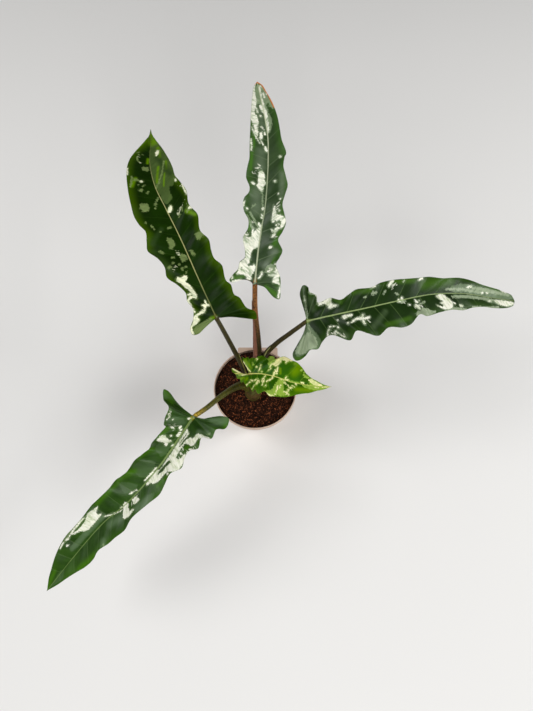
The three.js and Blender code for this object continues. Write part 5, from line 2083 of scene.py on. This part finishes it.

# The leaf that comes forward at the lower left: mid green, cream and white in its first half, with
# grey-green patches of painted sheen
FRONT_LEFT = LeafPlan(
    name="front_left",
    stalk=((-5, -4, 97), (-17, -3, 119), (-28, -10.5, 134), (-44, -27, 152), (-60, -46, 168),
           (-76, -60, 176)),
    stalk_radii=(6.2, 5.5, 4, 3.5, 3.1),
    rib=((-76, -60, 176), (-91, -87, 183), (-108, -116, 186), (-129, -143, 183),
         (-153, -167, 174), (-183, -189, 160), (-218, -225, 142), (-256, -268, 122)),
    rolls=(-10, -10, -6),
    left=(
        (0, 0), (-1, 12), (-9, 24), (-15, 35), (-15, 45), (-3, 46), (6, 39), (17, 38), (23, 29),
        (34, 30), (42, 24), (52, 23), (62, 25), (73, 20), (86, 22), (98, 24), (113, 22), (134, 21),
        (150, 26), (168, 26), (182, 25), (197, 22), (212, 23), (227, 21), (242, 16), (257, 11), (273, 6),
        (288, 0)),
    right=(
        (0, 0), (-2, 15), (-7, 31), (-14, 47), (-13, 56), (-4, 51), (10, 28), (20, 31), (28, 27), (32, 19),
        (42, 25), (55, 28), (65, 21), (76, 27), (90, 33), (104, 25), (116, 29), (129, 34), (143, 29),
        (160, 27), (175, 28), (189, 23), (206, 24), (223, 27), (240, 23), (257, 16), (273, 9), (288, 0)),
    marks={
        Tone.CREAM: (
            (0, (17, 38), (22, 37), (25, 31), (24, 25), (28, 23), (35, 23), (37, 19), (36, 12),
             (50, 11), (57, 11), (56, 16), (52, 19), (48, 20), (50, 24), (63, 24), (69, 22), (72, 16),
             (76, 13), (88, 12), (94, 9), (95, 5), (103, 3), (92, 0), (80, 0), (77, 4), (66, 3),
             (30, 3), (18, 2), (21, 6), (24, 9), (44, 7), (43, 9), (27, 12), (27, 17), (20, 20),
             (20, 28)), (1, (39, 27), (41, 23)), (0.8, (44, 24), (46, 21)), (1.3, (75, 17)),
            (0.9, (49, 14), (50, 17)),
            (0, (41, -9), (50, -7), (50, -11), (47, -12), (49, -20), (50, -25), (42, -22), (38, -17),
             (41, -14)), (1.2, (36, -10)), (1.3, (42, -7)), (1, (44, -1), (46, -2)),
            (0, (25, -1), (33, -1), (33, -5), (26, -4)), (1.2, (20, -6), (23, -6)),
            (0.8, (22, -3), (24, -4)), (1, (27, -12), (28, -15)), (1.2, (5, -3), (6, -4)),
            (0.8, (78, -2), (98, -3)), (0.9, (16, -21)), (0.6, (12, -25), (20, -28)),
            (0.7, (120, -5), (122, -5)),
            (0, (117, 9), (121, 10), (127, 8), (124, 5), (126, 1), (119, 2)),
            (0, (128, 14), (134, 16), (146, 14), (142, 6), (139, -2), (133, -3), (132, 2), (135, 5),
             (134, 9), (137, 11), (129, 12)), (1, (141, 0), (143, -1)),
            # This thin stroke along the fold is a painted highlight
            (0.6, (143, 3), (152, 1), (160, -2), (168, -5)),
            (0, (167, -21), (173, -17), (174, -13), (168, -10), (176, -8), (195, -8), (200, -12),
             (206, -18), (193, -17), (186, -18), (181, -23), (172, -21)),
            (0.9, (187, -21), (208, -22), (222, -22)), (1.1, (221, -21), (226, -23)),
            (0.8, (227, -15), (229, -16)), (0.7, (205, -17), (212, -20)), (1, (230, -23), (238, -21))),
        Tone.GREEN: (
            (0, (61, 8), (64, 11), (71, 8), (76, 9), (84, 6), (81, 4), (72, 4), (64, 5)),
            (0.6, (24, 6), (40, 6)), (1.2, (51, 17), (54, 15), (54, 12)),
            (0, (36, 13), (36, 22), (48, 22), (48, 14)), (0, (26, 9), (26, 11), (43, 10), (43, 8))),
        Tone.PALE: (
            (0, (184, -21), (208, -22), (230, -21), (240, -21), (222, -27), (200, -25)),
            (1.4, (12, 33), (15, 31)), (1, (188, 23), (187, 20)), (1, (6, 1), (40, 1), (76, 0))),
        # These grey-green areas are painted sheen
        Tone.SECTOR: (
            (0, (8, -8), (16, -9), (28, -10), (25, -24), (14, -24)),
            (0, (34, -2), (66, -3), (62, -16), (50, -20), (40, -6)),
            (0, (72, -4), (98, -4), (100, -24), (88, -28), (80, -22)),
            (0, (106, -4), (128, -8), (128, -28), (116, -20)),
            (0, (98, 18), (108, 14), (130, 13), (125, 21), (104, 22)),
            (0, (168, -3), (230, -4), (228, -12), (170, -9)),
            (0, (250, -2), (258, 8), (276, 3), (288, 0))),
        Tone.LIME: (
            (5, (62, -20), (84, -32)), (6, (98, -20), (126, -32)), (6, (128, -28), (166, -24)),
            (6, (234, 17), (206, 21)), (4, (288, -1), (262, -8)), (4, (40, 19), (45, 15)),
            (4, (76, 18), (92, 15)), (6, (-12, -52), (-4, -36)), (4, (32, -18), (44, -24)),
            (5, (-12, 42), (-4, 46)), (4, (24, -28), (34, -20))),
        Tone.SPRAY: (
            (8, (30, -20), (20, -8)), (5, (236, -20), (200, -16)), (8, (40, 14), (75, 16)),
            (5, (128, 6), (118, 3)), (4, (110, -2), (124, -6)), (5, (36, 26), (48, 23))),
        # Painted sheen: pale haze laid on as colour where light would be reflected
        Tone.BLOOM: (
            (9, (-2, 32), (-13, 41)), (6, (14, 30), (17, 20)), (9, (110, 18), (124, 16)),
            (9, (150, 10), (165, 8)), (7, (185, 18), (188, 22)), (9, (14, -8), (20, -24)),
            (5, (168, -6), (226, -8)), (5, (-4, 25), (-12, 40))),
    },
    palette=LeafPalette(
        dark=shade(23, 49, 6), middle=shade(55, 89, 27), lime=shade(62, 106, 10),
        pale=shade(122, 142, 98), sector=shade(72, 98, 56), bloom=shade(88, 112, 76),
        vein=shade(86, 114, 54), rib=shade(128, 150, 84), joint=shade(188, 172, 44), rib_share=0.75,
        vein_share=0.28, gloss=0.16, roughness=0.36),
    skin=YELLOW_STALK,
    rib_reach=(1.5, 0.5),
    rib_glow=(1, 1, 0.9, 0.7, 0.5, 0.6, 0.4),
)

# The young leaf over the pot: bright yellow-green and thin, with toothed lobes
YOUNG = LeafPlan(
    name="young",
    stalk=((-1, -6, 100), (-3, -4, 124), (-5, -2, 143), (-6, 1, 162)),
    stalk_radii=(4, 3, 2),
    rib=((-6, 1, 162), (10, -1, 168), (29, -6, 171), (48, -13, 171),
         (68, -16, 168), (86, -17, 164), (103, -16, 159)),
    fold=14,
    left=(
        (0, 0), (-5, 9), (-10, 16), (-12, 23), (-8, 21), (-4, 23), (-1, 20), (4, 22), (9, 21), (12, 24),
        (16, 25), (21, 21), (24, 26), (28, 26), (31, 22), (35, 26), (39, 30), (48, 28), (60, 28), (69, 23),
        (76, 15), (84, 10), (93, 7), (102, 3), (113, 0)),
    right=(
        (0, 0), (-9, 0), (-19, -5), (-28, -9), (-26, -3), (-20, 1), (-17, 7), (-12, 8), (-10, 13), (-5, 13),
        (0, 20), (4, 19), (9, 26), (14, 24), (20, 29), (29, 25), (37, 29), (46, 27), (54, 24), (64, 18),
        (73, 14), (83, 11), (92, 7), (102, 4), (113, 0)),
    marks={
        Tone.CREAM: (
            (0, (28, 15), (30, 18), (31, 21), (33, 24), (39, 30), (46, 29), (50, 27), (45, 26),
             (43, 20), (41, 25), (38, 24), (37, 18), (34, 13)), (0.8, (36, 13), (36, 9), (37, 4)),
            (0.9, (34, 8), (33, 0), (33, -4)), (1, (32, -5), (27, -10)),
            (0, (80, 7), (84, 9), (94, 5), (102, 1), (90, 1), (83, 4)), (0.7, (100, -1), (112, 0)),
            (0.7, (90, -2), (95, -2)), (1.3, (58, -9), (60, -8)), (0.7, (57, -11), (56, -19)),
            (0.6, (60, -5), (63, -6)), (0.7, (64, 0), (65, -3)), (0.9, (4, -10), (8, -11)),
            (0.7, (-1, -17), (4, -13)), (0.6, (23, -2), (21, -8)), (0.7, (23, -10), (23, -17)),
            (0.6, (7, -23), (13, -17), (15, -13)), (0.5, (10, -12), (12, -8)),
            (0.5, (16, -10), (18, -13)), (0.5, (27, -18), (28, -15)), (0.5, (14, -8), (13, -16)),
            (0.5, (13, 3), (15, 8), (15, 12)), (0.6, (10, 9)), (0.6, (26, 11), (28, 16)),
            (0.5, (25, 6), (28, 9)), (0.5, (10, 18), (10, 20)), (0.6, (17, 3)), (0.7, (49, 1), (50, 5)),
            (0.6, (50, 1), (54, 2)), (0.8, (71, 2), (74, 2)), (0.8, (44, -1), (48, -1)),
            (0.8, (30, -26), (38, -28), (45, -27)), (1, (45, -24)),
            (1, (-27, 8), (-18, 3), (-8, -1), (-3, -1)), (0.7, (-10, 16), (-5, 9), (1, 3)),
            (0.8, (44, -12), (45, -16), (45, -21)), (0.6, (47, -9), (47, -14)),
            (0.8, (53, -17), (56, -16), (58, -19))),
        Tone.PALE: (
            (0, (38, -20), (40, -8), (42, -1), (49, -2), (50, -8), (52, -14), (56, -20), (52, -24),
             (45, -24), (42, -28), (34, -29), (29, -25), (33, -22)),
            (0, (21, 21), (24, 26), (28, 28), (31, 24), (29, 19), (26, 14), (24, 18)),
            (0, (70, -1), (84, 1), (106, 0), (104, -3), (94, -7), (80, -5)), (1.3, (73, 12), (79, 10)),
            (1.1, (68, 18), (70, 18)), (0.9, (73, 16)), (0.7, (24, 14), (25, 18)),
            (0.8, (55, 1), (68, 1)), (0.7, (4, 16), (6, 11)), (0.8, (-16, -1), (-13, -2))),
        Tone.LIME: (
            (11, (59, 14), (62, 18)), (7, (56, 27), (70, 23)), (6, (66, -9), (88, -6)),
            (5, (-14, -7), (-2, -8)), (4, (-8, 19), (2, 8)), (2.5, (39, 12), (41, 6)),
            (4, (84, 2), (110, 0))),
        Tone.SPRAY: (
            (6, (8, -16), (30, -6)), (5, (26, 14), (38, 18)), (5, (50, -4), (60, -8)),
            (5, (70, 12), (85, 6)), (5, (-20, 1), (-8, -4))),
    },
    palette=LeafPalette(
        dark=shade(29, 70, 0), middle=shade(54, 106, 0), lime=shade(110, 146, 0),
        pale=shade(158, 190, 74), sector=shade(112, 132, 6), bloom=shade(96, 128, 40),
        vein=shade(108, 146, 28), rib=shade(206, 206, 112), joint=shade(120, 96, 60),
        cream=shade(240, 234, 172), veil=shade(196, 206, 130), margin_glow=0.2, gloss=0.1,
        roughness=0.36),
    skin=YOUNG_STALK,
    rib_reach=(1.0, 0.4),
    rib_glow=(1, 1, 1, 0.9, 0.8, 0.8),
    wave_gain=0.8,
)

LEAVES = (BACK_LEFT, BACK, RIGHT, FRONT_LEFT, YOUNG)

PINK_SHEATH = SheathSkin("pink sheath", shade(158, 104, 82), shade(100, 60, 42), shade(122, 82, 54),
                         shade(122, 76, 62))
DARK_SHEATH = SheathSkin("dark sheath", shade(52, 46, 14), shade(28, 22, 7), shade(70, 64, 26),
                         shade(156, 158, 98))
BROWN_SHEATH = SheathSkin("brown sheath", shade(56, 44, 17), shade(34, 24, 9), shade(64, 58, 24),
                          shade(136, 132, 60), 0.72)
SHEATHS = (
    SheathPlan("papery", BACK, PINK_SHEATH, (0.08, 0.86), (20, 128), (5.5, 5.8, 3.6, 0.5, 0.2),
               (1, 0.95, 0.8, 0.6, 0.4), "sheath_back", "dry_sheath"),
    SheathPlan("right", RIGHT, DARK_SHEATH, (0.06, 0.56), (110, -58), (1.8, 1.4, 0.9, 0.6, 0.2)),
    SheathPlan("back_left", BACK_LEFT, BROWN_SHEATH, (0.06, 0.46), (-110, 12), (1, 0.8, 0.6, 0.4, 0.2)),
)


def main() -> None:
    """Builds every piece in order."""
    logging.basicConfig(level=logging.INFO, format="%(name)s: %(message)s")
    Studio().build()
    effects, trees = SharedEffects(), GrowthTrees()
    NurseryPot().build(effects)
    SoilBed().build(effects, trees)
    Corm().build(effects)
    for sheath in SHEATHS:
        Sheath(sheath).build(effects)
    for plan in LEAVES:
        Stalk(plan).build(trees)
        LeafBlade(plan).build(effects, trees)


if __name__ == "__main__":
    main()
